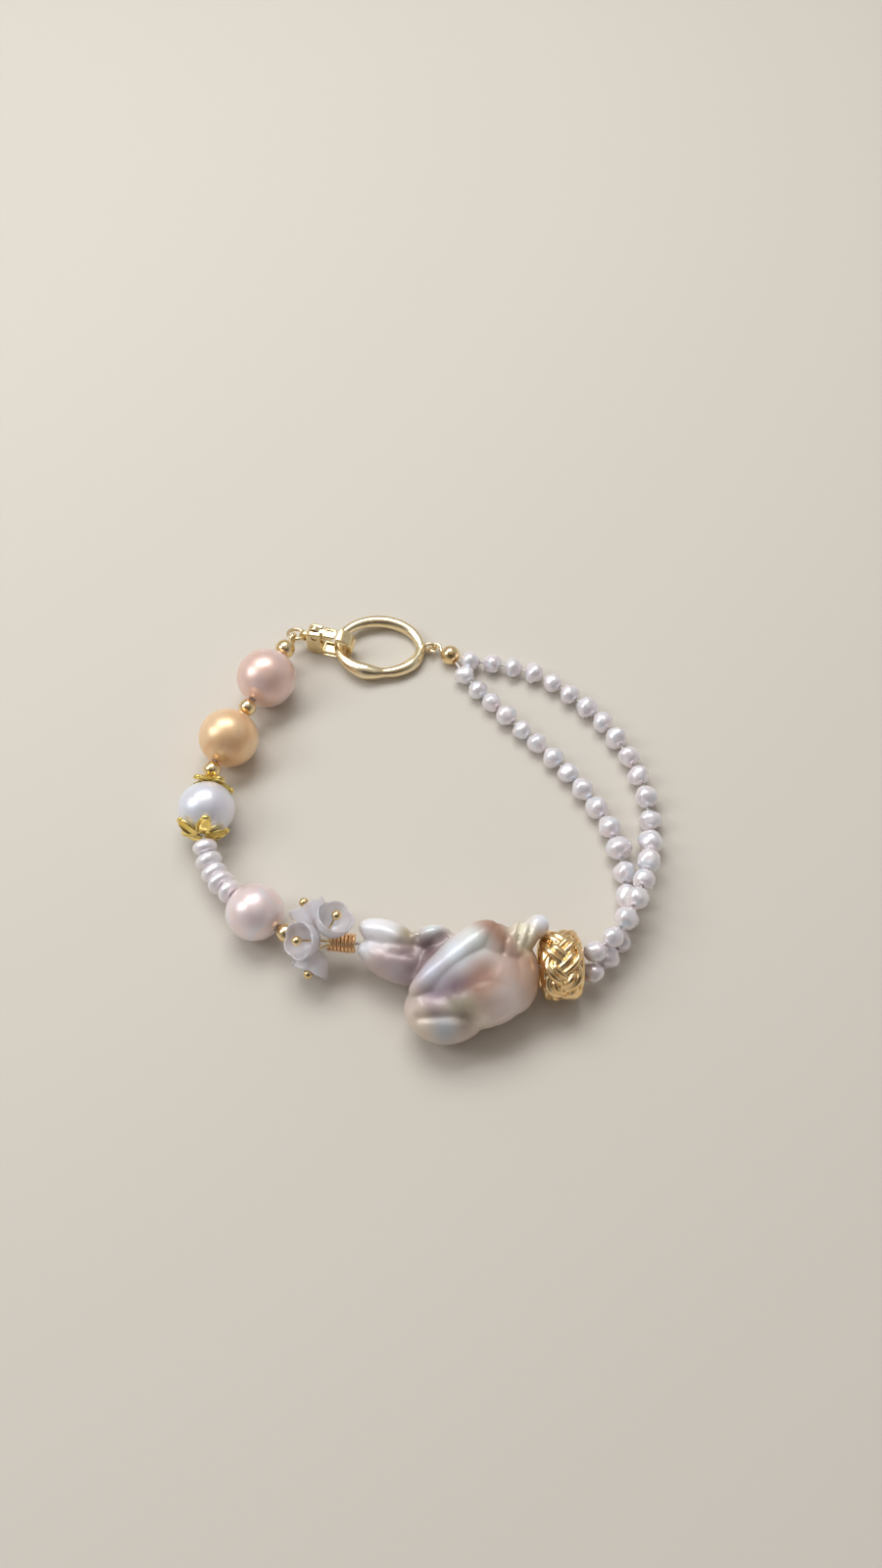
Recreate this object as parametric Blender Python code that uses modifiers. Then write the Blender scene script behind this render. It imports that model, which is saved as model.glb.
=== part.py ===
"""Pearl bracelet, fastened and lying in a closed loop on a flat surface. Metres, +Z up.

A loop of sizes is worked out piece by piece along the string, and the string's route is scaled so
that the pieces just fill it. The whole bracelet then stands on z = 0 with its box centred on the origin.
"""

import math

import bmesh
import bpy
import numpy as np
from mathutils import Matrix, Vector

MM = 0.001

# Round pearls and button pearls
PINK_DIAMETER = 8.5 * MM
PINK_LENGTH = 8.7 * MM
GOLDEN_DIAMETER = 8.4 * MM
WHITE_A_DIAMETER = 7.7 * MM
WHITE_B_DIAMETER = 7.7 * MM
PEARL_BORE = 0.9 * MM
BUTTON_COUNT = 5
BUTTON_DIAMETER = 3.5 * MM
BUTTON_LENGTH = 1.8 * MM
BUTTON_SAG = 1.0 * MM

# Gold beads and the wire loops in the two end beads
GOLD_BEAD_DIAMETER = 2.5 * MM
END_BEAD_DIAMETER = 2.9 * MM
LOOP_RADIUS = 0.75 * MM
LOOP_WIRE = 0.28 * MM
SHANK_DEPTH = 0.9 * MM

# Bead caps
CAP_PETALS = 5
CAP_WALL = 0.3 * MM
CAP_COLLAR = 0.9 * MM
CAP_CLEARANCE = 0.12 * MM
CAP_REACH = math.radians(50)
CAP_NOTCH = math.radians(17)
CAP_FLARE = 0.8 * MM

# Strands of small pearls
STRAND_PEARL = 2.8 * MM
STRAND_PITCH = 3.39 * MM
OUTER_COUNT = 20
STRAND_NECK = 0.36 * MM
STRAND_ENTRY = 1.2 * MM
OUTER_LEAD = 0.2 * MM
INNER_LEAD = 1.0 * MM
STRAND_SIDES = 10
STRAND_LIFT = 1.08
CROSSING_GAP = 0.48 * MM
ENTRY_SPREAD = 0.62

# Woven slide bead
WOVEN_DIAMETER = 9.0 * MM
WOVEN_WIDTH = 5.6 * MM
WOVEN_HOLE = 5.2 * MM
WOVEN_RELIEF = 0.7 * MM
BRAID_REPEATS = 3

# Baroque pearl, along its bore, across and upright
BAROQUE_LENGTH = 23.2 * MM
BAROQUE_WIDTH = 15.0 * MM
BAROQUE_HEIGHT = 11.6 * MM
BAROQUE_BORE = 1.0 * MM
BORE_HEIGHT_SHARE = 0.36
SKIN_CELLS = 30
SKIN_KEPT = 0.075

# Wire coil and bell flowers
COIL_DIAMETER = 2.66 * MM
COIL_WIRE = 0.44 * MM
COIL_TURNS = 6.5
COIL_LENGTH = 3.6 * MM
COIL_HEIGHT = 4.0 * MM
FLOWER_STRETCH = 4.5 * MM
FLOWER_HUB = 0.8 * MM
BELL_MOUTH = 4.0 * MM
BELL_WALL = 0.28 * MM
BELL_LOBES = 5
PIN_WIRE = 0.28 * MM
PIN_BALL = 1.3 * MM
PIN_RING = 0.56 * MM

# Oval clasp ring and its soldered eye
OVAL_LENGTH = 13.6 * MM
OVAL_WIDTH = 11.4 * MM
OVAL_WIRE = 1.0 * MM
EYE_RADIUS = 0.85 * MM
EYE_WIRE = 0.3 * MM

# Lobster clasp, standing on its edge
CLASP_HEIGHT = 4.6 * MM
CLASP_THICKNESS = 2.2 * MM
CLASP_BAR = 0.85 * MM
CLASP_BLOCK = 2.2 * MM
CLASP_REACH = 4.8 * MM
CLASP_EDGE = 0.28 * MM
CLASP_EYE_HOLE = 0.55 * MM
CLASP_EYE_RIM = 0.4 * MM
CLASP_EYE_THICKNESS = 0.7 * MM
CLASP_MOUTH_ANGLE = math.radians(95)
LEVER_THICKNESS = 0.8 * MM
LEVER_BAR = 0.85 * MM
LEVER_DISC = 0.72 * MM
LEVER_SLANT = 0.5 * MM
SLOT_CLEARANCE = 0.12 * MM
PIN_RADIUS = 0.35 * MM
PIN_CLEARANCE = 0.08 * MM
THUMB_TAB = 0.5 * MM
LINK_WIRE = 0.28 * MM
LINK_INNER = 1.0 * MM
SEAT_BACK = 0.15 * MM

# Thread and clearances
THREAD_DIAMETER = 0.4 * MM
BEAD_GAP = 0.12 * MM
LINK_PLAY = 0.1 * MM
BEAD_SIDES = 12
PEARL_SIDES = 16

# Plan route of the string in mm, from the clasp ring's hooked end round the outer strand and back
LOOP_ROUTE = [
    (-12.6, 29.1), (-6.2, 29.2), (0.4, 29.1), (3.1, 28.5), (5.2, 26.7), (8.5, 26.2), (11.3, 25.8),
    (17.2, 24.0), (22.2, 20.2), (26.6, 15.3), (29.9, 9.6), (31.9, 3.0), (32.0, -3.5), (30.6, -10.2),
    (27.8, -16.4), (24.6, -21.0), (21.2, -23.6), (18.3, -24.0),
    (15.5, -23.9), (9.5, -22.9), (0.0, -21.5), (-8.0, -20.6), (-11.4, -20.2), (-17.2, -19.2),
    (-21.2, -16.4), (-26.0, -12.2), (-28.9, -7.6), (-29.6, -3.7), (-29.6, 0.1), (-29.5, 5.0),
    (-28.9, 7.6), (-27.5, 10.9),
    (-25.2, 16.0), (-22.7, 20.8), (-20.6, 26.2), (-19.6, 29.0), (-18.9, 30.7), (-17.9, 30.5),
]

# Plan route of the inner strand in mm, between the right end bead and the woven bead
INNER_ROUTE = [
    (6.7, 23.4), (9.1, 20.4), (13.7, 15.2), (18.4, 10.2), (22.5, 4.8), (25.7, -0.5), (27.6, -6.5),
    (28.1, -12.6), (27.2, -18.2),
]

# Wire thickness round the oval ring: degrees from its right end, share of OVAL_WIRE
OVAL_SECTIONS = [
    (0, 0.66), (30, 0.80), (60, 0.92), (90, 0.93), (120, 0.84), (150, 0.72), (180, 0.66), (205, 0.74),
    (232, 1.02), (252, 1.18), (268, 0.98), (277, 0.74), (292, 0.88), (320, 0.97), (345, 0.78),
]

# Lobes of the baroque pearl: centre along, across and up, then half sizes, as shares of its length, width
# and height; last the lobe's turn about the upright and its pitch, in degrees
BAROQUE_LOBES = {
    "body": (0.672, -0.213, 0.457, 0.315, 0.420, 0.457, 0, 0),
    "foot": (0.540, -0.480, 0.370, 0.230, 0.300, 0.350, 8, 0),
    "ridge": (0.534, -0.133, 0.638, 0.302, 0.153, 0.284, 46, -14),
    "brow": (0.690, -0.300, 0.690, 0.200, 0.260, 0.250, 0, 0),
    "shoulder": (0.745, 0.035, 0.630, 0.190, 0.215, 0.290, 0, 0),
    "neck": (0.901, -0.160, 0.422, 0.099, 0.293, 0.328, 0, 0),
    "cream_lump": (0.901, 0.107, 0.603, 0.078, 0.173, 0.216, -12, 0),
    "fin": (0.957, 0.240, 0.681, 0.095, 0.067, 0.121, 50, 0),
    "web": (0.366, -0.053, 0.397, 0.151, 0.173, 0.259, 0, 0),
    "tail": (0.230, -0.100, 0.345, 0.225, 0.190, 0.280, -16, 0),
    "finger": (0.164, 0.067, 0.509, 0.168, 0.127, 0.168, -12, 0),
    "white_lobe": (0.414, 0.080, 0.586, 0.116, 0.093, 0.168, 8, 0),
    "knob": (0.050, -0.060, 0.385, 0.048, 0.075, 0.110, 0, 0),
}

# Bell flowers: direction from the hub along, across and up, then the distances to throat and pin ball
FLOWERS = [
    ((0.56, -0.40, 0.73), 1.5 * MM, 4.8 * MM),
    ((0.52, 0.72, 0.42), 1.6 * MM, 5.4 * MM),
    ((-0.36, 0.28, 0.89), 2.2 * MM, 5.5 * MM),
    ((0.26, -0.92, -0.28), 1.5 * MM, 4.7 * MM),
]

# Pin wires round the thread inside the coil, in degrees from the upright towards the front
PIN_PLACES = [30, -75, -20, 120]


def smooth_route(points, closed):
    """Dense Catmull-Rom curve through plan points in mm, with its running length, both in metres."""
    count = len(points)
    spans = count if closed else count - 1
    dense = []
    for i in range(spans):
        if closed:
            a, b, c, d = (np.array(points[(i + k) % count]) for k in (-1, 0, 1, 2))
        else:
            a, b, c, d = (np.array(points[min(max(i + k, 0), count - 1)]) for k in (-1, 0, 1, 2))
        for t in np.linspace(0, 1, 24, endpoint=False):
            dense.append(0.5 * (2 * b + (c - a) * t + (2 * a - 5 * b + 4 * c - d) * t ** 2
                                + (3 * b - a - 3 * c + d) * t ** 3))
    dense.append(np.array(points[0 if closed else -1]))
    dense = np.array(dense) * MM
    steps = np.linalg.norm(np.diff(dense, axis=0), axis=1)
    return dense, np.concatenate([[0], np.cumsum(steps)])


def at(route, s):
    """Plan point at running length s."""
    dense, run = route
    s = s % run[-1] if s > run[-1] else s
    return Vector((np.interp(s, run, dense[:, 0]), np.interp(s, run, dense[:, 1]), 0))


def facing(direction, up=Vector((0, 0, 1))):
    """Rotation whose local X follows the direction and whose local Z stays near up."""
    x = Vector(direction).normalized()
    y = up.cross(x).normalized()
    return Matrix((x, y, x.cross(y))).transposed().to_4x4()


TURNED = Matrix.Rotation(math.radians(90), 4, "Y")


# Materials

def material(name, colour, roughness, metallic=0.0, coat=0.0, transmission=0.0):
    found = bpy.data.materials.get(name)
    if found:
        return found
    made = bpy.data.materials.new(name)
    made.use_nodes = True
    shader = made.node_tree.nodes["Principled BSDF"]
    shader.inputs["Base Color"].default_value = (*colour, 1)
    shader.inputs["Roughness"].default_value = roughness
    shader.inputs["Metallic"].default_value = metallic
    shader.inputs["Coat Weight"].default_value = coat
    shader.inputs["Transmission Weight"].default_value = transmission
    return made


def gold():
    return material("polished_gold", (0.90, 0.66, 0.28), 0.16, metallic=1.0)


def orange_gold():
    return material("orange_gold_wire", (0.85, 0.48, 0.16), 0.2, metallic=1.0)


def white_pearl():
    return material("white_pearl", (0.88, 0.85, 0.86), 0.25, coat=0.5)


def lilac_shell():
    return material("lilac_bell", (0.86, 0.82, 0.90), 0.15, transmission=0.5)


def thread_white():
    return material("white_thread", (0.85, 0.82, 0.78), 0.7)


# Builders shared by several pieces

def new_object(name, data, look, matrix=None):
    made = bpy.data.objects.new(name, data)
    made.data.materials.append(look)
    if matrix is not None:
        made.matrix_world = matrix
    PARTS.objects.link(made)
    made.parent = ROOT
    return made


def turned(name, profile, sides, look, matrix):
    """Piece turned about its local X from a closed profile of (radius, height) pairs, top to bottom."""
    mesh = bpy.data.meshes.new(name)
    work = bmesh.new()
    corners = [work.verts.new((radius, 0, height)) for radius, height in profile]
    for i, corner in enumerate(corners):
        work.edges.new((corner, corners[(i + 1) % len(corners)]))
    work.to_mesh(mesh)
    work.free()
    made = new_object(name, mesh, look, matrix @ TURNED)
    screw = made.modifiers.new("Turn", "SCREW")
    screw.axis = "Z"
    screw.steps = sides
    screw.render_steps = sides
    screw.use_merge_vertices = True
    screw.merge_threshold = 0.00001
    screw.use_smooth_shade = True
    return made


def drilled_bead(name, length, diameter, bore, sides, rings, look, matrix):
    """Round or flattened bead with a straight bore."""
    start = math.asin(bore / diameter)
    profile = []
    for i in range(rings + 1):
        angle = start + (math.pi - 2 * start) * i / rings
        profile.append((diameter / 2 * math.sin(angle), length / 2 * math.cos(angle)))
    return turned(name, profile, sides, look, matrix)


def ball(name, diameter, look, matrix):
    """Small round bead."""
    return drilled_bead(name, diameter, diameter, PEARL_BORE, BEAD_SIDES, 6, look, matrix)


def wire(name, points, radius, look, radii=None, closed=False, resolution=1):
    """Round wire along points, with caps where it is open; radii are shares of the radius."""
    curve = bpy.data.curves.new(name, "CURVE")
    curve.dimensions = "3D"
    curve.bevel_depth = radius
    curve.bevel_resolution = resolution
    curve.use_fill_caps = True
    spline = curve.splines.new("POLY")
    spline.points.add(len(points) - 1)
    for i, point in enumerate(points):
        spline.points[i].co = (*point, 1)
        spline.points[i].radius = radii[i] if radii else 1
    spline.use_cyclic_u = closed
    spline.use_smooth = True
    return new_object(name, curve, look)


def as_mesh(made):
    """The same object with its evaluated shape as a mesh of its own, welded into one body."""
    bpy.context.view_layer.update()
    evaluated = made.evaluated_get(bpy.context.evaluated_depsgraph_get())
    mesh = bpy.data.meshes.new_from_object(evaluated)
    work = bmesh.new()
    work.from_mesh(mesh)
    bmesh.ops.remove_doubles(work, verts=work.verts, dist=0.000002)
    bmesh.ops.recalc_face_normals(work, faces=work.faces)
    work.to_mesh(mesh)
    work.free()
    name = made.name
    matrix = made.matrix_world.copy()
    look = made.data.materials[0]
    bpy.data.objects.remove(made)
    mesh.name = name
    mesh.materials.clear()
    replaced = new_object(name, mesh, look)
    replaced.matrix_world = matrix
    return replaced


def guide(made):
    """Keeps a cutter or a shape that is joined elsewhere out of the model."""
    made.hide_render = True
    made.display_type = "WIRE"
    PARTS.objects.unlink(made)
    CUTTERS.objects.link(made)


def combine(made, other, operation):
    step = made.modifiers.new(operation.title(), "BOOLEAN")
    step.operation = operation
    step.object = other
    step.solver = "EXACT"
    guide(other)


def shell_of_rings(name, rings, wall, look, matrix):
    """Thin wall lofted through closed rings of points, thickened outwards."""
    mesh = bpy.data.meshes.new(name)
    work = bmesh.new()
    loops = [[work.verts.new(point) for point in ring] for ring in rings]
    for first, second in zip(loops, loops[1:]):
        count = len(first)
        for i in range(count):
            j = (i + 1) % count
            work.faces.new((first[i], first[j], second[j], second[i]))
    bmesh.ops.recalc_face_normals(work, faces=work.faces)
    work.to_mesh(mesh)
    work.free()
    mesh.shade_smooth()
    made = new_object(name, mesh, look, matrix)
    solid = made.modifiers.new("Wall", "SOLIDIFY")
    solid.thickness = wall
    solid.offset = 1
    return made


# Layout of the string

def clasp_sizes():
    """Named places of the clasp in its own plane: u along it from the block's face, w up from its middle."""
    half = CLASP_HEIGHT / 2
    inner = half - CLASP_BAR
    claw_u = CLASP_REACH
    wire_radius = OVAL_WIRE * share_at(180)
    seat_drop = 0.7 * (inner - wire_radius - LINK_PLAY)
    return {
        "half": half,
        "inner": inner,
        "claw_u": claw_u,
        "eye_u": -CLASP_EYE_HOLE,
        "seat": (claw_u - SEAT_BACK, -seat_drop),
        "pivot": (CLASP_BLOCK * 0.57, half - CLASP_EDGE - LEVER_DISC),
    }


def share_at(degrees):
    """Wire thickness share of the oval ring at an angle, read smoothly from its table."""
    angles = [row[0] for row in OVAL_SECTIONS]
    shares = [row[1] for row in OVAL_SECTIONS]
    return float(np.interp(degrees % 360, angles + [360], shares + [shares[0]]))


def link_to_eye():
    """Distance from the jump ring's middle to the clasp eye's, with the eye's rim inside the ring."""
    rim_place = math.sqrt((LINK_INNER - LINK_PLAY) ** 2 - (CLASP_EYE_THICKNESS / 2) ** 2)
    return CLASP_EYE_HOLE + rim_place


def string_pieces():
    """Names and lengths along the string, in order round the loop."""
    clasp = clasp_sizes()
    ring_left = OVAL_WIRE * share_at(180)
    ring_right = OVAL_WIRE * share_at(0)
    bead = END_BEAD_DIAMETER / 2
    taut = EYE_RADIUS - EYE_WIRE + LOOP_RADIUS - LOOP_WIRE - LINK_PLAY
    link_taut = LOOP_RADIUS - LOOP_WIRE + LINK_INNER - LINK_PLAY
    pieces = [
        ("oval_ring", OVAL_LENGTH - ring_left - ring_right),
        ("eye_reach", ring_right + EYE_RADIUS - EYE_WIRE / 3),
        ("eye_to_loop", taut),
        ("loop_reach_right", LOOP_RADIUS + LOOP_WIRE + BEAD_GAP),
        ("end_bead_right", 2 * bead),
        ("gap", BEAD_GAP),
        ("strand_outer", OUTER_COUNT * STRAND_PITCH),
        ("gap", BEAD_GAP),
        ("woven_ring", WOVEN_WIDTH),
        ("gap", 2 * BEAD_GAP),
        ("baroque_pearl", BAROQUE_LENGTH),
        ("gap", 2 * BEAD_GAP),
        ("wire_coil", COIL_LENGTH),
        ("flowers", FLOWER_STRETCH),
        ("gold_bead_flower", GOLD_BEAD_DIAMETER),
        ("gap", BEAD_GAP),
        ("round_pearl_white_b", WHITE_B_DIAMETER),
    ]
    for i in range(BUTTON_COUNT, 0, -1):
        pieces += [("gap", BEAD_GAP), (f"button_pearl_{i}", BUTTON_LENGTH)]
    pieces += [
        ("gap", BEAD_GAP),
        ("cap_lower_collar", CAP_COLLAR),
        ("round_pearl_white_a", WHITE_A_DIAMETER),
        ("cap_upper_collar", CAP_COLLAR),
        ("gap", BEAD_GAP),
        ("gold_bead_cap", GOLD_BEAD_DIAMETER),
        ("gap", BEAD_GAP),
        ("round_pearl_golden", GOLDEN_DIAMETER),
        ("gap", BEAD_GAP),
        ("gold_bead_mid", GOLD_BEAD_DIAMETER),
        ("gap", BEAD_GAP),
        ("round_pearl_pink", PINK_LENGTH),
        ("gap", BEAD_GAP),
        ("end_bead_left", 2 * bead),
        ("loop_reach_left", LOOP_RADIUS + LOOP_WIRE + BEAD_GAP),
        ("loop_to_link", link_taut),
        ("link_to_eye", link_to_eye()),
        ("clasp", math.hypot(clasp["seat"][0] - clasp["eye_u"], clasp["seat"][1])),
    ]
    return pieces


def lay_out():
    """Spans of the pieces along the route, and the two routes scaled so that the loop is just filled."""
    spans = {}
    s = 0.0
    for name, length in string_pieces():
        if name != "gap":
            spans[name] = (s, s + length)
        s += length
    fit = s / smooth_route(LOOP_ROUTE, True)[1][-1]
    loop = smooth_route([(x * fit, y * fit) for x, y in LOOP_ROUTE], True)
    return spans, loop, fit


def string_height(s):
    """Height of the string's axis: big pearls rest on the surface, and what lies between is carried."""
    resting = [
        ("woven_ring", WOVEN_DIAMETER / 2),
        ("baroque_pearl", BAROQUE_HEIGHT * BORE_HEIGHT_SHARE),
        ("wire_coil", COIL_HEIGHT),
        ("round_pearl_white_b", WHITE_B_DIAMETER / 2),
        ("round_pearl_white_a", WHITE_A_DIAMETER / 2),
        ("round_pearl_golden", GOLDEN_DIAMETER / 2),
        ("round_pearl_pink", PINK_DIAMETER / 2),
        ("clasp", CLASP_HEIGHT / 2),
    ]
    run = []
    heights = []
    for name, height in resting:
        run += SPANS[name]
        heights += [height, height]
    height = float(np.interp(s, run, heights))
    first, last = SPANS[f"button_pearl_{BUTTON_COUNT}"][0], SPANS["button_pearl_1"][1]
    if first < s < last:
        height -= BUTTON_SAG * math.sin(math.pi * (s - first) / (last - first))
    return height


def string_point(s):
    point = at(LOOP, s)
    point.z = string_height(s)
    return point


def seat_of(name):
    """Matrix at a piece's middle with local X along the string."""
    first, last = SPANS[name]
    start = string_point(first)
    end = string_point(last)
    return Matrix.Translation((start + end) / 2) @ facing(end - start)


# Clasp ring and right end

def resting_height(lifted):
    """Height of the ring's right end with its wire just touching the surface, its left end lifted."""
    heights = []
    for degrees in range(-80, 81, 5):
        fall = 0.5 + 0.5 * math.cos(math.radians(degrees))
        heights.append((OVAL_WIRE * share_at(degrees) - lifted * (1 - fall)) / fall)
    return max(heights)


def build_oval_ring():
    """Lies on its right end, with its left end lifted over the claw's bar; eye soldered at its right end."""
    clasp = clasp_sizes()
    first, last = SPANS["oval_ring"]
    left = at(LOOP, first)
    left.z = CLASP_HEIGHT / 2 + clasp["seat"][1]
    right = at(LOOP, last)
    right.z = resting_height(left.z)
    plane = Matrix.Translation((left + right) / 2) @ facing(right - left)
    half_length = (right - left).length / 2
    half_width = OVAL_WIDTH / 2 - OVAL_WIRE * 0.95
    stations = 40
    points = []
    radii = []
    for i in range(stations):
        angle = math.tau * i / stations
        share = share_at(math.degrees(angle))
        across = half_width * (1 + 0.05 * (share - 0.9)) * math.sin(angle)
        points.append(plane @ Vector((half_length * math.cos(angle), across, 0)))
        radii.append(share)
    ring = as_mesh(wire("oval_ring", points, OVAL_WIRE, gold(), radii, closed=True, resolution=2))
    eye_s = SPANS["eye_reach"][1]
    eye = torus("oval_ring_eye", EYE_RADIUS, EYE_WIRE, gold())
    centre = at(LOOP, eye_s)
    centre.z = max(right.z, LOOP_RADIUS + EYE_WIRE + LOOP_WIRE)
    ahead = at(LOOP, eye_s + EYE_RADIUS) - at(LOOP, eye_s - EYE_RADIUS)
    eye.matrix_world = Matrix.Translation(centre) @ facing(ahead) @ Matrix.Rotation(math.radians(90), 4, "X")
    combine(ring, eye, "UNION")
    return centre


def torus(name, major, minor, look):
    bpy.ops.mesh.primitive_torus_add(
        major_radius=major, minor_radius=minor, major_segments=14, minor_segments=6)
    made = bpy.context.object
    bpy.context.collection.objects.unlink(made)
    mesh = made.data
    bpy.data.objects.remove(made)
    mesh.name = name
    mesh.shade_smooth()
    return new_object(name, mesh, look)


def build_end_loop(name, centre, bead_centre, upright):
    """Open wire loop whose shank runs into the end bead's bore."""
    towards = bead_centre - centre
    up = Vector((0, 0, 1))
    frame = facing(towards, up)
    if upright:
        frame = frame @ Matrix.Rotation(math.radians(90), 4, "X")
    frame = Matrix.Translation(centre) @ frame
    reach = towards.length - END_BEAD_DIAMETER / 2 + SHANK_DEPTH
    points = [frame @ Vector((reach, 0, 0)), frame @ Vector((LOOP_RADIUS + 1.2 * LOOP_WIRE, 0, 0))]
    turn_start = math.radians(14)
    turn_end = math.tau - math.asin(min(0.9, 2.9 * LOOP_WIRE / LOOP_RADIUS))
    steps = 12
    for i in range(steps + 1):
        angle = turn_start + (turn_end - turn_start) * i / steps
        points.append(frame @ Vector((LOOP_RADIUS * math.cos(angle), LOOP_RADIUS * math.sin(angle), 0)))
    wire(name, points, LOOP_WIRE, gold())


def build_right_end(eye_centre):
    first, last = SPANS["end_bead_right"]
    low = at(LOOP, first)
    high = at(LOOP, last)
    bead_centre = (low + high) / 2
    bead_centre.z = END_BEAD_DIAMETER / 2
    loop_centre = at(LOOP, SPANS["eye_to_loop"][1])
    loop_centre.z = eye_centre.z
    matrix = Matrix.Translation(bead_centre) @ facing(bead_centre - loop_centre)
    ball("end_bead_right", END_BEAD_DIAMETER, gold(), matrix)
    build_end_loop("end_loop_right", loop_centre, bead_centre, upright=False)
    return bead_centre


# Strands

def strand_size(share, number):
    """Radius of a strand's pearl: the strand swells a little in its second half, and no two are alike."""
    swell = np.interp(share, [0, 0.25, 0.45, 0.65, 0.85, 1], [0.95, 0.95, 1.0, 1.10, 1.0, 0.92])
    return STRAND_PEARL / 2 * float(swell) * (1 + 0.035 * math.sin(2.4 * number + 0.6))


def strand_of(name, path, count, lead):
    """String of small pearls fused into one body, spread along the path by size, bare thread at its ends."""
    run = np.concatenate([[0], np.cumsum(np.linalg.norm(np.diff(path, axis=0), axis=1))])
    filled = run[-1] - lead - STRAND_ENTRY
    sizes = [strand_size((i + 0.5) / count, i) for i in range(count)]
    spacing = filled / sum(sizes)
    points = []
    radii = []
    for i, size in enumerate(sizes):
        middle = lead + spacing * (sum(sizes[:i]) + size / 2)
        half = min(0.95 * size, spacing * size / 2 - BEAD_GAP / 2)
        for along, share in ((-1.0, 0), (-0.62, 0.80), (0.0, 1.0), (0.62, 0.80), (1.0, 0)):
            s = middle + along * half
            points.append([np.interp(s, run, path[:, k]) for k in range(3)])
            radii.append(max(share * size, STRAND_NECK / 2) / STRAND_PEARL)
    points = [path[0]] + points + [path[-1]]
    radii = [STRAND_NECK / 2 / STRAND_PEARL] + radii + [STRAND_NECK / 2 / STRAND_PEARL]
    resolution = (STRAND_SIDES - 4) // 2
    wire(name, points, STRAND_PEARL, white_pearl(), radii, resolution=resolution)


def strand_ends(side):
    """Last points of a strand, in the woven bead's hole on one side of the string's middle."""
    ring = seat_of("woven_ring")
    offset = WOVEN_HOLE / 2 * ENTRY_SPREAD
    face = -WOVEN_WIDTH / 2
    lift = Vector((0, -0.92 * offset, 0.4 * offset)) if side > 0 else Vector((0, 0.15 * offset, -offset))
    before = Vector((face - STRAND_PEARL * ENTRY_SPREAD, 0, 0))
    inside = Vector((face + STRAND_ENTRY - BEAD_GAP, 0, 0))
    return [ring @ (before + lift), ring @ (inside + lift * 0.8)]


def dense_path(points):
    """Smooth dense space curve through points."""
    flat = [tuple(v / MM for v in point) for point in points]
    return smooth_route(flat, False)[0]


def build_strands(bead_centre):
    first, last = SPANS["strand_outer"]
    length = last - first
    low = STRAND_PEARL / 2 * STRAND_LIFT
    carried = 3 * low + CROSSING_GAP
    points = []
    for share, height in ((0.0, low), (0.05, low), (0.12, low), (0.2, low), (0.28, low), (0.36, low),
                          (0.44, low), (0.52, low), (0.60, low), (0.68, low + 0.12 * (carried - low)),
                          (0.75, low + 0.62 * (carried - low)), (0.82, carried), (0.90, carried)):
        point = at(LOOP, first + share * length)
        point.z = height
        points.append(point)
    points[0].z = bead_centre.z
    path = dense_path(points + strand_ends(1))
    strand_of("strand_outer", path, OUTER_COUNT, OUTER_LEAD)

    inner = [Vector((x * FIT * MM, y * FIT * MM, low)) for x, y in INNER_ROUTE]
    away = (inner[0] - bead_centre).normalized()
    start = bead_centre + away * (END_BEAD_DIAMETER / 2 + BEAD_GAP)
    path = dense_path([start] + inner + strand_ends(-1))
    length = float(np.linalg.norm(np.diff(path, axis=0), axis=1).sum())
    strand_of("strand_inner", path, int(length / STRAND_PITCH), INNER_LEAD)


# Woven slide bead

def build_woven_ring():
    """Barrel band with a raised three-strand braid running round it."""
    around = 60
    across = 10
    mid_radius = WOVEN_DIAMETER / 2 - WOVEN_RELIEF
    weave = WOVEN_WIDTH * 0.26
    strand_half = WOVEN_WIDTH * 0.19
    rings = []
    for i in range(around):
        angle = math.tau * i / around
        section = []
        for j in range(across + 1):
            t = -0.5 + j / across
            height = 0.0
            for k in range(3):
                phase = BRAID_REPEATS * angle + k * math.tau / 3
                centre = weave * math.sin(phase)
                level = 0.5 + 0.5 * math.sin(2 * phase)
                near = 1 - ((t * WOVEN_WIDTH - centre) / strand_half) ** 2
                if near > 0:
                    height = max(height, math.sqrt(near) * (0.35 + 0.65 * level))
            barrel = 1 - (2 * t) ** 4 * 0.16
            radius = mid_radius * barrel + WOVEN_RELIEF * height
            section.append((t * WOVEN_WIDTH, radius))
        section += [(WOVEN_WIDTH * 0.42, WOVEN_HOLE / 2), (0, WOVEN_HOLE / 2 * 0.97),
                    (-WOVEN_WIDTH * 0.42, WOVEN_HOLE / 2)]
        rings.append([(x, r * math.cos(angle), r * math.sin(angle)) for x, r in section])
    mesh = bpy.data.meshes.new("woven_ring")
    work = bmesh.new()
    loops = [[work.verts.new(point) for point in ring] for ring in rings]
    for i, first in enumerate(loops):
        second = loops[(i + 1) % around]
        for j in range(len(first)):
            k = (j + 1) % len(first)
            work.faces.new((first[j], first[k], second[k], second[j]))
    bmesh.ops.recalc_face_normals(work, faces=work.faces)
    work.to_mesh(mesh)
    work.free()
    mesh.shade_smooth()
    new_object("woven_ring", mesh, gold(), seat_of("woven_ring"))


# Baroque pearl

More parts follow.
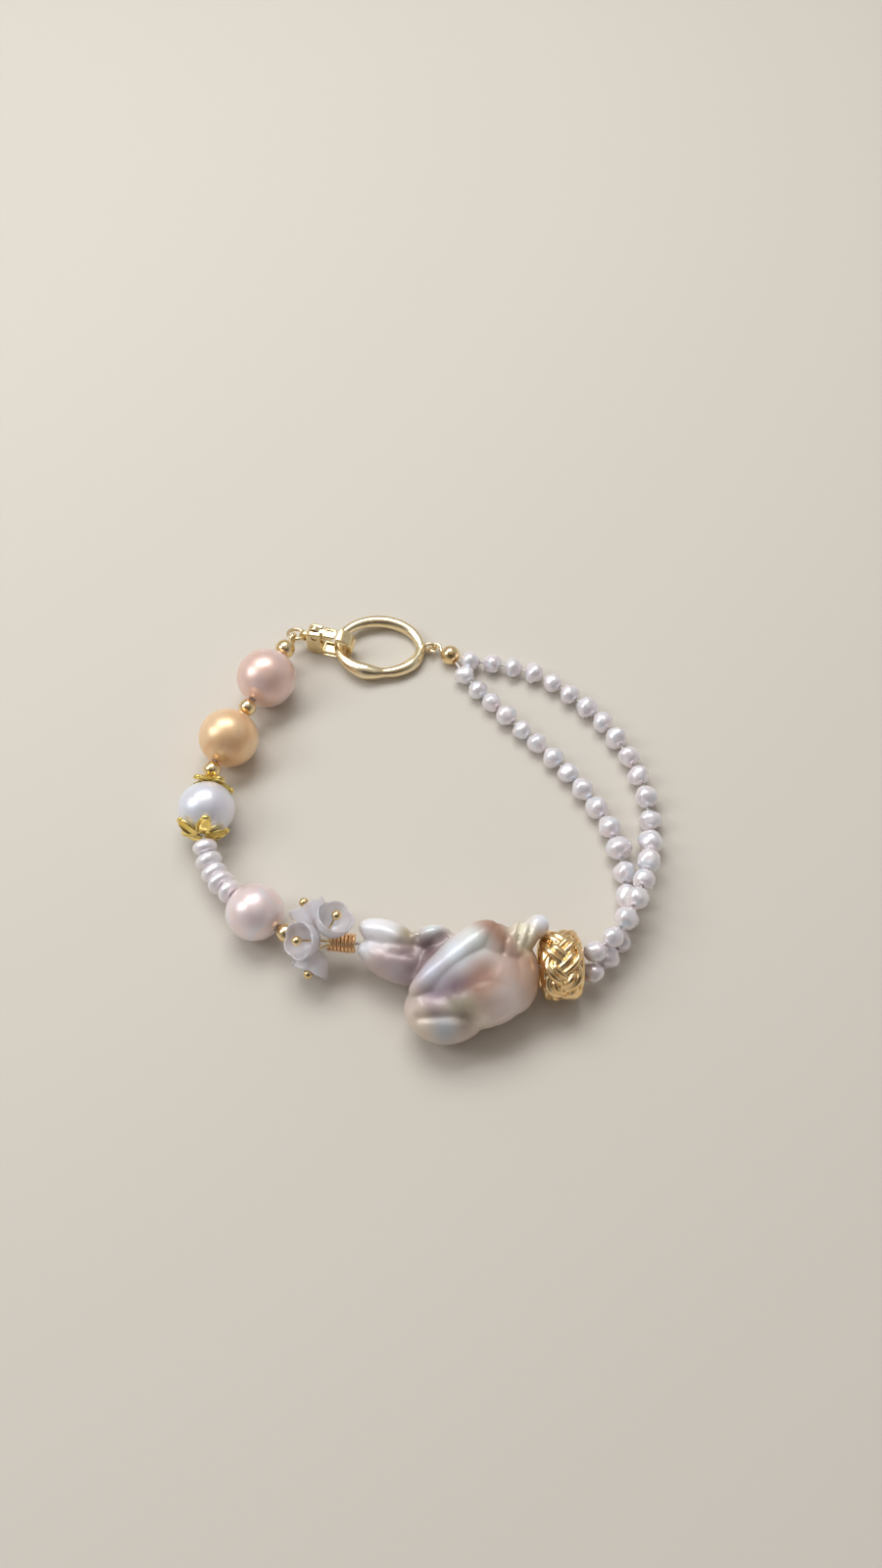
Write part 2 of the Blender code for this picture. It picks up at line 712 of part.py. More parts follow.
def build_baroque_pearl():
    """Lobes grown together into one skin, then drilled along the string."""
    start = string_point(SPANS["baroque_pearl"][1])
    end = string_point(SPANS["baroque_pearl"][0])
    flat = Vector((end.x - start.x, end.y - start.y, 0))
    plane = Matrix.Translation((start.x, start.y, 0)) @ facing(flat)
    mesh = bpy.data.meshes.new("baroque_pearl")
    work = bmesh.new()
    sizes = (BAROQUE_LENGTH, BAROQUE_WIDTH, BAROQUE_HEIGHT)
    for row in BAROQUE_LOBES.values():
        centre = Vector(share * size for share, size in zip(row[0:3], sizes))
        half = Vector(share * size for share, size in zip(row[3:6], sizes))
        turn = Matrix.Rotation(math.radians(row[6]), 4, "Z") @ Matrix.Rotation(math.radians(row[7]), 4, "Y")
        place = Matrix.Translation(centre) @ turn @ Matrix.Diagonal((*half, 1))
        bmesh.ops.create_uvsphere(work, u_segments=24, v_segments=16, radius=1, matrix=place)
    work.to_mesh(mesh)
    work.free()
    nacre = material("baroque_nacre", (0.80, 0.68, 0.66), 0.22, coat=0.6)
    pearl = new_object("baroque_pearl", mesh, nacre, plane)
    skin = pearl.modifiers.new("Skin", "REMESH")
    skin.mode = "VOXEL"
    skin.voxel_size = BAROQUE_HEIGHT / SKIN_CELLS
    skin.use_smooth_shade = True
    smooth = pearl.modifiers.new("Grown", "SMOOTH")
    smooth.factor = 0.5
    smooth.iterations = 6
    fewer = pearl.modifiers.new("Facets", "DECIMATE")
    fewer.ratio = SKIN_KEPT
    fewer.use_collapse_triangulate = True
    pearl = as_mesh(pearl)
    bore = cylinder("baroque_bore", BAROQUE_BORE / 2, BAROQUE_LENGTH * 1.2, 8)
    bore.matrix_world = Matrix.Translation((start + end) / 2) @ facing(end - start) @ TURNED
    combine(pearl, bore, "DIFFERENCE")


def cylinder(name, radius, length, sides):
    mesh = bpy.data.meshes.new(name)
    work = bmesh.new()
    bmesh.ops.create_cone(work, cap_ends=True, segments=sides, radius1=radius, radius2=radius, depth=length)
    work.to_mesh(mesh)
    work.free()
    return new_object(name, mesh, gold())


# Coil and flowers

def build_coil():
    frame = seat_of("wire_coil")
    radius = (COIL_DIAMETER - COIL_WIRE) / 2
    steps = int(10 * COIL_TURNS)
    rise = COIL_LENGTH - COIL_WIRE
    points = []
    for i in range(steps + 1):
        angle = math.tau * COIL_TURNS * i / steps
        along = rise * (i / steps - 0.5)
        points.append(frame @ Vector((along, radius * math.cos(angle), radius * math.sin(angle))))
    wire("wire_coil", points, COIL_WIRE / 2, orange_gold())


def flower_frame():
    """Hub just past the coil: local X on along the string, local Y to the outside, local Z up."""
    coil_end = SPANS["wire_coil"][1]
    hub = string_point(coil_end + FLOWER_HUB)
    before = string_point(SPANS["wire_coil"][0])
    return Matrix.Translation(hub) @ facing(hub - before)


def build_flowers():
    hub = flower_frame()
    inside = -(FLOWER_HUB + COIL_LENGTH * 0.75)
    for number, ((ahead, back, up), throat, ball) in enumerate(FLOWERS, start=1):
        direction = Vector((ahead, -back, up)).normalized()
        matrix = hub @ facing(direction, up=Vector((0.1, 0, 1)))
        length = ball - 0.15 * PIN_BALL - throat
        rings = []
        for along, radius, lobe in ((0.0, 0.24, 0), (0.15, 0.42, 0), (0.40, 0.68, 0.02), (0.70, 0.87, 0.04),
                                    (0.95, 1.0, 0.07)):
            ring = []
            for i in range(20):
                angle = math.tau * (i + 0.5) / 20
                petal = 2 * abs(math.cos(BELL_LOBES * angle / 2)) - 1
                size = BELL_MOUTH / 2 * radius * (1 + lobe * petal)
                reach = throat + length * (along + lobe * petal)
                ring.append((reach, size * math.cos(angle), size * math.sin(angle)))
            rings.append(ring)
        shell_of_rings(f"flower_bell_{number}", rings, BELL_WALL, lilac_shell(), matrix)
        place = math.radians(PIN_PLACES[number - 1])
        ring_point = Vector((0, math.sin(place), math.cos(place))) * PIN_RING
        points = [hub @ (Vector((inside, 0, 0)) + ring_point),
                  hub @ (Vector((-FLOWER_HUB * 0.9, 0, 0)) + ring_point),
                  hub @ (direction * throat * 0.8),
                  hub @ (direction * (throat + 0.1 * length)),
                  hub @ (direction * (ball - 0.4 * PIN_BALL))]
        radii = [1, 1, 1, 1, 1]
        for i in range(5):
            angle = math.pi * (0.18 + 0.82 * i / 4)
            points.append(hub @ (direction * (ball - 0.5 * PIN_BALL * math.cos(angle))))
            radii.append(max(0.08 * PIN_BALL, 0.5 * PIN_BALL * math.sin(angle)) / (PIN_WIRE / 2))
        wire(f"flower_pin_{number}", points, PIN_WIRE / 2, gold(), radii)


# Pearls, beads and caps on the left

def build_left_run():
    pink = material("pink_pearl", (0.80, 0.60, 0.58), 0.25, coat=0.5)
    golden = material("golden_pearl", (0.80, 0.58, 0.34), 0.22, coat=0.5)
    for name, length, diameter, look in (
        ("round_pearl_pink", PINK_LENGTH, PINK_DIAMETER, pink),
        ("round_pearl_golden", GOLDEN_DIAMETER, GOLDEN_DIAMETER, golden),
        ("round_pearl_white_a", WHITE_A_DIAMETER, WHITE_A_DIAMETER, white_pearl()),
        ("round_pearl_white_b", WHITE_B_DIAMETER, WHITE_B_DIAMETER, white_pearl()),
    ):
        drilled_bead(name, length, diameter, PEARL_BORE, PEARL_SIDES, 8, look, seat_of(name))
    for name in ("gold_bead_flower", "gold_bead_cap", "gold_bead_mid"):
        ball(name, GOLD_BEAD_DIAMETER, gold(), seat_of(name))
    for i in range(1, BUTTON_COUNT + 1):
        name = f"button_pearl_{i}"
        drilled_bead(name, BUTTON_LENGTH, BUTTON_DIAMETER, PEARL_BORE, BEAD_SIDES, 6, white_pearl(),
                     seat_of(name))


def build_cap(name, away):
    """Five-petal cap: a collar, then petals that hug the pearl and curl out at their tips."""
    pearl = seat_of("round_pearl_white_a")
    matrix = pearl @ Matrix.Rotation(math.radians(90 - 90 * away), 4, "Z")
    hug = WHITE_A_DIAMETER / 2 + CAP_CLEARANCE
    around = 4 * CAP_PETALS
    hole = PEARL_BORE / 2
    rings = []
    for level in (0.0, 0.3, 0.6, 0.85, 1.0):
        ring = []
        for i in range(around):
            angle = math.tau * i / around
            petal = 0.5 + 0.5 * math.cos(CAP_PETALS * angle)
            edge = CAP_REACH - CAP_NOTCH * (1 - petal)
            start = math.asin(hole / hug)
            polar = start + (edge - start) * level
            out = hug + CAP_FLARE * petal * max(0, level - 0.55) ** 2 * 4
            ring.append((-out * math.cos(polar), out * math.sin(polar) * math.cos(angle),
                         out * math.sin(polar) * math.sin(angle)))
        rings.append(ring)
    shell_of_rings(name, rings, CAP_WALL, gold(), matrix)


# Left end, link and clasp

def build_left_end():
    bead_centre = seat_of("end_bead_left").translation
    clasp = clasp_frame()
    along = clasp.col[0].to_3d()
    link_centre = clasp @ Vector((clasp_sizes()["eye_u"] - link_to_eye(), 0, 0))
    towards = (bead_centre - link_centre).normalized()
    loop_centre = link_centre + towards * (LOOP_RADIUS - LOOP_WIRE + LINK_INNER - LINK_PLAY)
    ball("end_bead_left", END_BEAD_DIAMETER, gold(), Matrix.Translation(bead_centre) @ facing(towards))
    build_end_loop("end_loop_left", loop_centre, bead_centre, upright=True)
    link = torus("clasp_link", LINK_INNER + LINK_WIRE, LINK_WIRE, gold())
    normal = along.cross(towards).normalized()
    link.matrix_world = Matrix.Translation(link_centre) @ facing(along, normal if normal.z > 0 else -normal)


def clasp_frame():
    """Local X along the clasp from the block's face, local Y across it, local Z up from its middle."""
    clasp = clasp_sizes()
    first, last = SPANS["clasp"]
    eye = at(LOOP, first)
    seat = at(LOOP, 0)
    flat = (seat - eye).normalized()
    middle = seat - flat * clasp["seat"][0]
    middle.z = CLASP_HEIGHT / 2
    return Matrix.Translation(middle) @ facing(flat)


def flat_plate(name, outline, thickness, edge, look, matrix):
    """Plate of an outline in its own X and Z, its edges rounded."""
    curve = bpy.data.curves.new(name, "CURVE")
    curve.dimensions = "2D"
    curve.fill_mode = "BOTH"
    curve.extrude = thickness / 2
    spline = curve.splines.new("POLY")
    spline.points.add(len(outline) - 1)
    for point, (u, w) in zip(spline.points, outline):
        point.co = (u, w, 0, 1)
    spline.use_cyclic_u = True
    made = new_object(name, curve, look)
    made.matrix_world = matrix @ Matrix.Rotation(math.radians(90), 4, "X")
    made = as_mesh(made)
    if edge:
        rounding = made.modifiers.new("Edges", "BEVEL")
        rounding.width = edge
        rounding.segments = 1
        rounding.limit_method = "ANGLE"
        rounding.angle_limit = math.radians(60)
    return made


def arc(centre, radius, first, last, steps):
    return [(centre[0] + radius * math.cos(first + (last - first) * i / steps),
             centre[1] + radius * math.sin(first + (last - first) * i / steps)) for i in range(steps + 1)]


def build_clasp():
    clasp = clasp_sizes()
    frame = clasp_frame()
    half = clasp["half"]
    inner = clasp["inner"]
    claw = (clasp["claw_u"], 0.0)
    pivot = clasp["pivot"]
    corner = half * 0.45
    down = math.radians(-90)
    outline = [(0, half - corner * 0.6), (0, -half + corner)]
    outline += arc((corner, -half + corner), corner, math.radians(180), math.radians(270), 4)[1:]
    outline += arc(claw, half, down, CLASP_MOUTH_ANGLE, 12)
    outline += arc(claw, inner, CLASP_MOUTH_ANGLE, down, 8)
    outline += [(CLASP_BLOCK, -inner), (CLASP_BLOCK, half), (corner * 0.6, half)]
    body = flat_plate("clasp_body", outline, CLASP_THICKNESS, CLASP_EDGE, gold(), frame)

    eye_outer = CLASP_EYE_HOLE + CLASP_EYE_RIM
    rim = [(CLASP_EYE_HOLE, CLASP_EYE_THICKNESS / 2 * 0.8), (CLASP_EYE_HOLE, -CLASP_EYE_THICKNESS / 2 * 0.8),
           (eye_outer * 0.86, -CLASP_EYE_THICKNESS / 2), (eye_outer, -CLASP_EYE_THICKNESS / 4),
           (eye_outer, CLASP_EYE_THICKNESS / 4), (eye_outer * 0.86, CLASP_EYE_THICKNESS / 2)]
    place = frame @ Matrix.Translation((clasp["eye_u"], 0, 0)) @ Matrix.Rotation(math.radians(90), 4, "Z")
    eye = turned("clasp_eye_rim", list(reversed(rim)), 14, gold(), place)
    combine(body, eye, "UNION")

    slot_side = LEVER_THICKNESS / 2 + SLOT_CLEARANCE
    slot_left = pivot[0] - LEVER_DISC - SLOT_CLEARANCE
    slot_floor = pivot[1] - LEVER_DISC - SLOT_CLEARANCE
    slot = box("clasp_slot", (slot_left, -slot_side, slot_floor), (CLASP_BLOCK * 1.4, slot_side, half * 1.5))
    slot.matrix_world = frame
    combine(body, slot, "DIFFERENCE")
    hole = cylinder("clasp_pin_hole", PIN_RADIUS + PIN_CLEARANCE, CLASP_THICKNESS * 1.5, 10)
    across = Matrix.Rotation(math.radians(90), 4, "X")
    at_pivot = frame @ Matrix.Translation((pivot[0], 0, pivot[1]))
    hole.matrix_world = at_pivot @ across
    combine(body, hole, "DIFFERENCE")

    pin = cylinder("clasp_pin", PIN_RADIUS, CLASP_THICKNESS - 2 * BEAD_GAP, 10)
    pin.matrix_world = at_pivot @ across

    tip = claw[0] + half * math.cos(CLASP_MOUTH_ANGLE) - pivot[0] - SLOT_CLEARANCE
    top = half - pivot[1] - SLOT_CLEARANCE / 2
    low = top - LEVER_BAR
    disc = arc((0, 0), LEVER_DISC, math.radians(205), math.radians(330), 7)
    lever_outline = disc + [(CLASP_BLOCK - pivot[0], low), (tip - LEVER_SLANT, low), (tip, top),
                            (LEVER_DISC * 0.9, top), (LEVER_DISC * 0.25, top + THUMB_TAB),
                            (-LEVER_DISC * 0.75, top + THUMB_TAB), (-LEVER_DISC * 0.98, top)]
    lever = flat_plate("clasp_lever", lever_outline, LEVER_THICKNESS, 0, gold(), at_pivot)
    lever_hole = cylinder("clasp_lever_hole", PIN_RADIUS + PIN_CLEARANCE, LEVER_THICKNESS * 2, 10)
    lever_hole.matrix_world = at_pivot @ across
    combine(lever, lever_hole, "DIFFERENCE")


def box(name, low, high):
    mesh = bpy.data.meshes.new(name)
    work = bmesh.new()
    bmesh.ops.create_cube(work, size=1)
    for vertex in work.verts:
        vertex.co = [low[k] if vertex.co[k] < 0 else high[k] for k in range(3)]
    work.to_mesh(mesh)
    work.free()
    return new_object(name, mesh, gold())


# Thread

def build_thread():
    """From inside the left end bead through every bored piece to the middle of the woven bead."""
    points = []
    first = SPANS["woven_ring"][0] + WOVEN_WIDTH * 0.55
    last = SPANS["end_bead_left"][0] + END_BEAD_DIAMETER * 0.35
    baroque = SPANS["baroque_pearl"]
    coil = SPANS["wire_coil"]
    stops = [first, baroque[0], baroque[1], coil[0], coil[1], coil[1] + FLOWER_HUB]
    names = ["gold_bead_flower", "round_pearl_white_b"]
    names += [f"button_pearl_{i}" for i in range(BUTTON_COUNT, 0, -1)]
    names += ["round_pearl_white_a", "gold_bead_cap", "round_pearl_golden", "gold_bead_mid"]
    names.append("round_pearl_pink")
    for name in names:
        stops += [SPANS[name][0], SPANS[name][1]]
    stops.append(last)
    for s in stops:
        points.append(string_point(s))
    wire("thread", points, THREAD_DIAMETER / 2, thread_white())


def settle():
    """Moves the bracelet so that it stands on z = 0 with its box centred on the origin."""
    bpy.context.view_layer.update()
    graph = bpy.context.evaluated_depsgraph_get()
    low = Vector((1, 1, 1))
    high = Vector((-1, -1, -1))
    for piece in PARTS.objects:
        if piece.type == "EMPTY":
            continue
        evaluated = piece.evaluated_get(graph)
        mesh = evaluated.to_mesh()
        for vertex in mesh.vertices:
            point = evaluated.matrix_world @ vertex.co
            low = Vector(map(min, low, point))
            high = Vector(map(max, high, point))
        evaluated.to_mesh_clear()
    ROOT.location = (-(low.x + high.x) / 2, -(low.y + high.y) / 2, -low.z)


for old in list(bpy.data.objects):
    bpy.data.objects.remove(old)
PARTS = bpy.data.collections.new("pearl_bracelet")
CUTTERS = bpy.data.collections.new("cutters")
bpy.context.scene.collection.children.link(PARTS)
bpy.context.scene.collection.children.link(CUTTERS)
ROOT = bpy.data.objects.new("bracelet_root", None)
PARTS.objects.link(ROOT)
SPANS, LOOP, FIT = lay_out()

eye_place = build_oval_ring()
bead_place = build_right_end(eye_place)
build_strands(bead_place)
build_woven_ring()
build_baroque_pearl()
build_coil()
build_flowers()
build_left_run()
build_cap("bead_cap_lower", 1)
build_cap("bead_cap_upper", -1)
build_left_end()
build_clasp()
build_thread()
settle()
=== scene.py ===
import math
import random

import bpy
import numpy as np
from mathutils import Matrix, Vector, noise


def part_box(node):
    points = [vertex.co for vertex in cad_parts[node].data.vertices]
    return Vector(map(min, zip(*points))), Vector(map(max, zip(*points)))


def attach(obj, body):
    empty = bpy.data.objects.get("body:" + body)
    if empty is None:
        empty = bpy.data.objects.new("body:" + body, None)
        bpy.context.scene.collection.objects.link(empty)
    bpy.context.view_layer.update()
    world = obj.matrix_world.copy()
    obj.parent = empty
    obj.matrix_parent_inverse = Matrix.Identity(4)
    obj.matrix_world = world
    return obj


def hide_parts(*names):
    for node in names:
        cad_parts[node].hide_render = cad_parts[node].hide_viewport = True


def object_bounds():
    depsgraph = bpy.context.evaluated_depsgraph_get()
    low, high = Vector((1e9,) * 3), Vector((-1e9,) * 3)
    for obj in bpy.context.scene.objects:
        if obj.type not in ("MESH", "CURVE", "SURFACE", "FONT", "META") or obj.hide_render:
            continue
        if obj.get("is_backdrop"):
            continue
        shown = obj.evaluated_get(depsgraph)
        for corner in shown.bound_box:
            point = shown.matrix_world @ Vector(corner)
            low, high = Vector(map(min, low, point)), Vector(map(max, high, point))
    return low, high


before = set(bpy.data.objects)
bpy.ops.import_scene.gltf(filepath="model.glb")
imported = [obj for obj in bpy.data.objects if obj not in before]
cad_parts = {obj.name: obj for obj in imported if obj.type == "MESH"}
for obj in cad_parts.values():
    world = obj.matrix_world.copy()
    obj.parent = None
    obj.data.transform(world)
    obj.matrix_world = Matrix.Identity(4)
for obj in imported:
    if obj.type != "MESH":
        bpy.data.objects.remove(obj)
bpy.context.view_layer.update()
bpy.ops.object.select_all(action="DESELECT")


# Plain pale board that the bracelet lies on, lit by a window high behind it, one on its left and a dim
# ceiling, and seen from in front at about 60 degrees above the board.
MM = 0.001
BOARD_COLOUR = (0.70, 0.655, 0.58, 1)
CAMERA_PLACE = Vector((2.8, -85.36, 156.8)) * MM
CAMERA_TILT = math.radians(30.07)

bpy.ops.mesh.primitive_plane_add(size=3, location=(0, 0, 0))
board = bpy.context.object
board.name = "board"
look = bpy.data.materials.new("pale_board")
look.use_nodes = True
look.node_tree.nodes["Principled BSDF"].inputs["Base Color"].default_value = BOARD_COLOUR
look.node_tree.nodes["Principled BSDF"].inputs["Roughness"].default_value = 0.9
board.data.materials.append(look)
board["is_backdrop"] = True

for name, place, width, height, power, colour in (
        ("roof_window", (-0.08, 0.24, 0.44), 0.40, 0.24, 1.50, (0.98, 0.99, 1.0)),
        ("left_window", (-0.36, 0.02, 0.34), 0.18, 0.26, 0.62, (0.94, 0.97, 1.0)),
        ("ceiling", (0.12, -0.02, 0.80), 0.70, 0.70, 0.50, (1.0, 0.97, 0.93))):
    bpy.ops.object.light_add(type="AREA", location=place)
    lamp = bpy.context.object
    lamp.name = name
    lamp.data.shape = "RECTANGLE"
    lamp.data.size = width
    lamp.data.size_y = height
    lamp.data.energy = power
    lamp.data.color = colour
    lamp.rotation_euler = (-Vector(place)).to_track_quat("-Z", "Y").to_euler()

room = bpy.data.worlds.new("room")
bpy.context.scene.world = room
room.use_nodes = True
tree = room.node_tree
around = tree.nodes.new("ShaderNodeTexCoord")
front = tree.nodes.new("ShaderNodeVectorMath")
front.operation = "DOT_PRODUCT"
front.inputs[1].default_value = (0.12, -0.55, 0.82)
shade = tree.nodes.new("ShaderNodeValToRGB")
shade.color_ramp.elements[0].position = 0.45
shade.color_ramp.elements[0].color = (0.86, 0.84, 0.82, 1)
shade.color_ramp.elements[1].position = 0.93
shade.color_ramp.elements[1].color = (0.17, 0.14, 0.13, 1)
tree.links.new(around.outputs["Generated"], front.inputs[0])
tree.links.new(front.outputs["Value"], shade.inputs["Fac"])
tree.links.new(shade.outputs["Color"], tree.nodes["Background"].inputs["Color"])
tree.nodes["Background"].inputs["Strength"].default_value = 0.50

bpy.ops.object.camera_add(location=CAMERA_PLACE, rotation=(CAMERA_TILT, 0, 0))
camera = bpy.context.object
camera.name = "camera"
camera.data.lens = 29.25
camera.data.sensor_width = 36
camera.data.clip_start = 0.005
bpy.context.scene.camera = camera
bpy.context.scene.view_settings.view_transform = "Standard"
bpy.context.scene.view_settings.look = "None"


# Four round pearls, 7.7 to 8.5 mm, of cultured nacre drilled through the middle. Each is a little off round,
# with the soft cloudy overtones of nacre. They are threaded on the left side of the loop.
ROUND_PEARLS = {
    "round_pearl_pink": (8.70, 8.50, "end_bead_left", "gold_bead_mid"),
    "round_pearl_golden": (8.40, 8.40, "gold_bead_mid", "gold_bead_cap"),
    "round_pearl_white_a": (7.70, 7.70, "bead_cap_upper", "bead_cap_lower"),
    "round_pearl_white_b": (7.70, 7.70, "button_pearl_5", "gold_bead_flower"),
}
PEARL_BORE = 0.9
PEARL_STEPS = 64
HOLE_BEVEL = (0.10, 0.06)


def centre_of(node):
    low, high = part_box(node)
    return (low + high) / 2


def aimed(centre, along, up=Vector((0, 0, 1))):
    """Place with local X along the string and local Z near up."""
    x = Vector(along).normalized()
    y = Vector(up).cross(x).normalized()
    return Matrix.Translation(centre) @ Matrix((x, y, x.cross(y))).transposed().to_4x4()


def picked(made):
    """Makes a piece the only selected one, for the operators that work on the selection."""
    bpy.ops.object.select_all(action="DESELECT")
    made.select_set(True)
    bpy.context.view_layer.objects.active = made


def named(name):
    """Names the piece that was just made and hands it over."""
    made = bpy.context.object
    made.name = name
    made.data.name = name
    return made


def welded(gap=0.001):
    """Closes the seams of the active mesh, with a gap in mm, and turns its faces outwards."""
    bpy.ops.object.mode_set(mode="EDIT")
    bpy.ops.mesh.select_all(action="SELECT")
    bpy.ops.mesh.remove_doubles(threshold=gap * MM)
    bpy.ops.mesh.normals_make_consistent(inside=False)
    bpy.ops.object.mode_set(mode="OBJECT")


def spun(name, profile, place, steps):
    """Body of revolution about local X from a closed profile of (along, radius) points in mm."""
    bpy.ops.mesh.primitive_circle_add(vertices=len(profile), radius=1, location=(0, 0, 0))
    made = named(name)
    for corner, (along, radius) in zip(made.data.vertices, profile):
        corner.co = (along * MM, 0, radius * MM)
    bpy.ops.object.mode_set(mode="EDIT")
    bpy.ops.mesh.select_all(action="SELECT")
    bpy.ops.mesh.spin(steps=steps, angle=math.tau, center=(0, 0, 0), axis=(1, 0, 0))
    bpy.ops.object.mode_set(mode="OBJECT")
    welded()
    bpy.ops.object.shade_smooth()
    made.data.transform(place)
    return made


def bead_profile(length, diameter, bore, points):
    """Round bead from one end of its bore to the other, with a small bevel inside the hole."""
    start = math.asin(bore / diameter)
    arc = []
    for i in range(points + 1):
        angle = start + (math.pi - 2 * start) * i / points
        arc.append((-length / 2 * math.cos(angle), diameter / 2 * math.sin(angle)))
    end = arc[-1][0] - HOLE_BEVEL[0]
    wall = bore / 2 - HOLE_BEVEL[1]
    return arc + [(end, wall), (-end, wall)]


def uneven(made, amount, size, seed):
    """Pushes a grown surface in and out by a little, over patches of the given size, all in mm."""
    for corner in made.data.vertices:
        swell = noise.noise(corner.co / (size * MM) + Vector((seed, 2.3 * seed, 0)))
        corner.co += corner.normal * amount * MM * swell


def socket_node(tree, kind, inputs, **settings):
    """New node whose inputs are plain values or are wired to other nodes' outputs."""
    made = tree.nodes.new(kind)
    for key, value in settings.items():
        setattr(made, key, value)
    for key, value in inputs.items():
        if isinstance(value, bpy.types.NodeSocket):
            tree.links.new(value, made.inputs[key])
        else:
            made.inputs[key].default_value = value
    return made


def new_group(name, inputs, outputs):
    group = bpy.data.node_groups.new(name, "ShaderNodeTree")
    for title, kind in inputs:
        group.interface.new_socket(name=title, in_out="INPUT", socket_type="NodeSocket" + kind)
    for title, kind in outputs:
        group.interface.new_socket(name=title, in_out="OUTPUT", socket_type="NodeSocket" + kind)
    return group, group.nodes.new("NodeGroupInput"), group.nodes.new("NodeGroupOutput")


def hand_out(group, out, tone, gloss, relief):
    group.links.new(tone, out.inputs["Color"])
    group.links.new(gloss.outputs["Result"], out.inputs["Roughness"])
    group.links.new(relief.outputs["Normal"], out.inputs["Normal"])


def build_nacre_surface():
    """Cloudy overtones, slightly uneven gloss and the faint swell of grown nacre."""
    group, given, out = new_group(
        "nacre surface",
        [("Body", "Color"), ("Overtone", "Color"), ("Second Overtone", "Color"), ("Patch Scale", "Float"),
         ("Overtone Share", "Float"), ("Gloss Low", "Float"), ("Gloss High", "Float"), ("Swell", "Float")],
        [("Color", "Color"), ("Roughness", "Float"), ("Normal", "Vector")])
    place = group.nodes.new("ShaderNodeTexCoord").outputs["Object"]
    tone = given.outputs["Body"]
    for title, shift, detail, distortion, low, high in (
            ("Overtone", (0, 0, 0), 2.0, 0.6, 0.42, 0.68),
            ("Second Overtone", (0.031, 0.017, 0.009), 1.0, 1.2, 0.50, 0.72)):
        moved = socket_node(group, "ShaderNodeMapping", {"Vector": place, "Location": shift})
        clouds = socket_node(group, "ShaderNodeTexNoise", {
            "Vector": moved.outputs["Vector"], "Scale": given.outputs["Patch Scale"], "Detail": detail,
            "Distortion": distortion})
        cover = socket_node(group, "ShaderNodeMapRange", {
            "Value": clouds.outputs["Fac"], "From Min": low, "From Max": high})
        share = socket_node(group, "ShaderNodeMath", {
            0: cover.outputs["Result"], 1: given.outputs["Overtone Share"]}, operation="MULTIPLY")
        mixed = socket_node(group, "ShaderNodeMix", {
            "Factor": share.outputs[0], 6: tone, 7: given.outputs[title]}, data_type="RGBA")
        tone = mixed.outputs[2]
    growth = socket_node(group, "ShaderNodeTexNoise", {"Vector": place, "Scale": 700.0, "Detail": 0.0})
    gloss = socket_node(group, "ShaderNodeMapRange", {
        "Value": growth.outputs["Fac"], "From Min": 0.10, "From Max": 0.90,
        "To Min": given.outputs["Gloss Low"], "To Max": given.outputs["Gloss High"]})
    grown = socket_node(group, "ShaderNodeBump", {
        "Height": growth.outputs["Fac"], "Strength": given.outputs["Swell"], "Distance": 0.0001})
    hand_out(group, out, tone, gloss, grown)
    return group


NACRE_SURFACE = build_nacre_surface()


def finish_of(name, surface, values, shader_values):
    """Material whose colour, roughness and relief come from a surface, the rest from plain values."""
    made = bpy.data.materials.new(name)
    made.use_nodes = True
    tree = made.node_tree
    given = socket_node(tree, "ShaderNodeGroup", values, node_tree=surface)
    shader = tree.nodes["Principled BSDF"]
    for title, target in (("Color", "Base Color"), ("Roughness", "Roughness"), ("Normal", "Normal")):
        tree.links.new(given.outputs[title], shader.inputs[target])
    set_shader(made, shader_values)
    return made


def set_shader(made, values):
    for title, value in values.items():
        made.node_tree.nodes["Principled BSDF"].inputs[title].default_value = value


def nacre(name, body, overtone, second, patch, share=0.6, swell=0.05, gloss=(0.30, 0.38)):
    """Pearl material: cloudy body colour under a soft clear coat, with a silky rim."""
    return finish_of(name, NACRE_SURFACE, {
        "Body": (*body, 1), "Overtone": (*overtone, 1), "Second Overtone": (*second, 1),
        "Patch Scale": 1 / (patch * MM), "Overtone Share": share, "Gloss Low": gloss[0],
        "Gloss High": gloss[1], "Swell": swell,
    }, {"Metallic": 0.42, "Coat Weight": 0.35, "Coat Roughness": 0.18, "Sheen Weight": 0.10,
        "Sheen Roughness": 0.40})


WHITE_NACRE = nacre("white_nacre", (0.92, 0.87, 0.90), (0.94, 0.84, 0.86), (0.82, 0.89, 0.96), 4.0)
PINK_NACRE = nacre("pink_nacre", (0.88, 0.63, 0.56), (0.92, 0.76, 0.77), (0.84, 0.55, 0.42), 5.0)
GOLDEN_NACRE = nacre("golden_nacre", (0.94, 0.63, 0.35), (0.96, 0.74, 0.50), (0.88, 0.49, 0.24), 5.0)
BLUE_NACRE = nacre("blue_white_nacre", (0.84, 0.86, 0.94), (0.90, 0.86, 0.94), (0.78, 0.88, 0.96), 5.0)
MAUVE_NACRE = nacre("mauve_white_nacre", (0.93, 0.80, 0.81), (0.94, 0.74, 0.69), (0.84, 0.88, 0.96), 5.0)


def set_in(piece, material, slot, *nodes, body="bracelet"):
    """Gives a finished piece its material, and puts it in the place of its CAD solids."""
    piece.data.materials.clear()
    piece.data.materials.append(material)
    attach(piece, body)
    if nodes:
        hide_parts(*nodes)


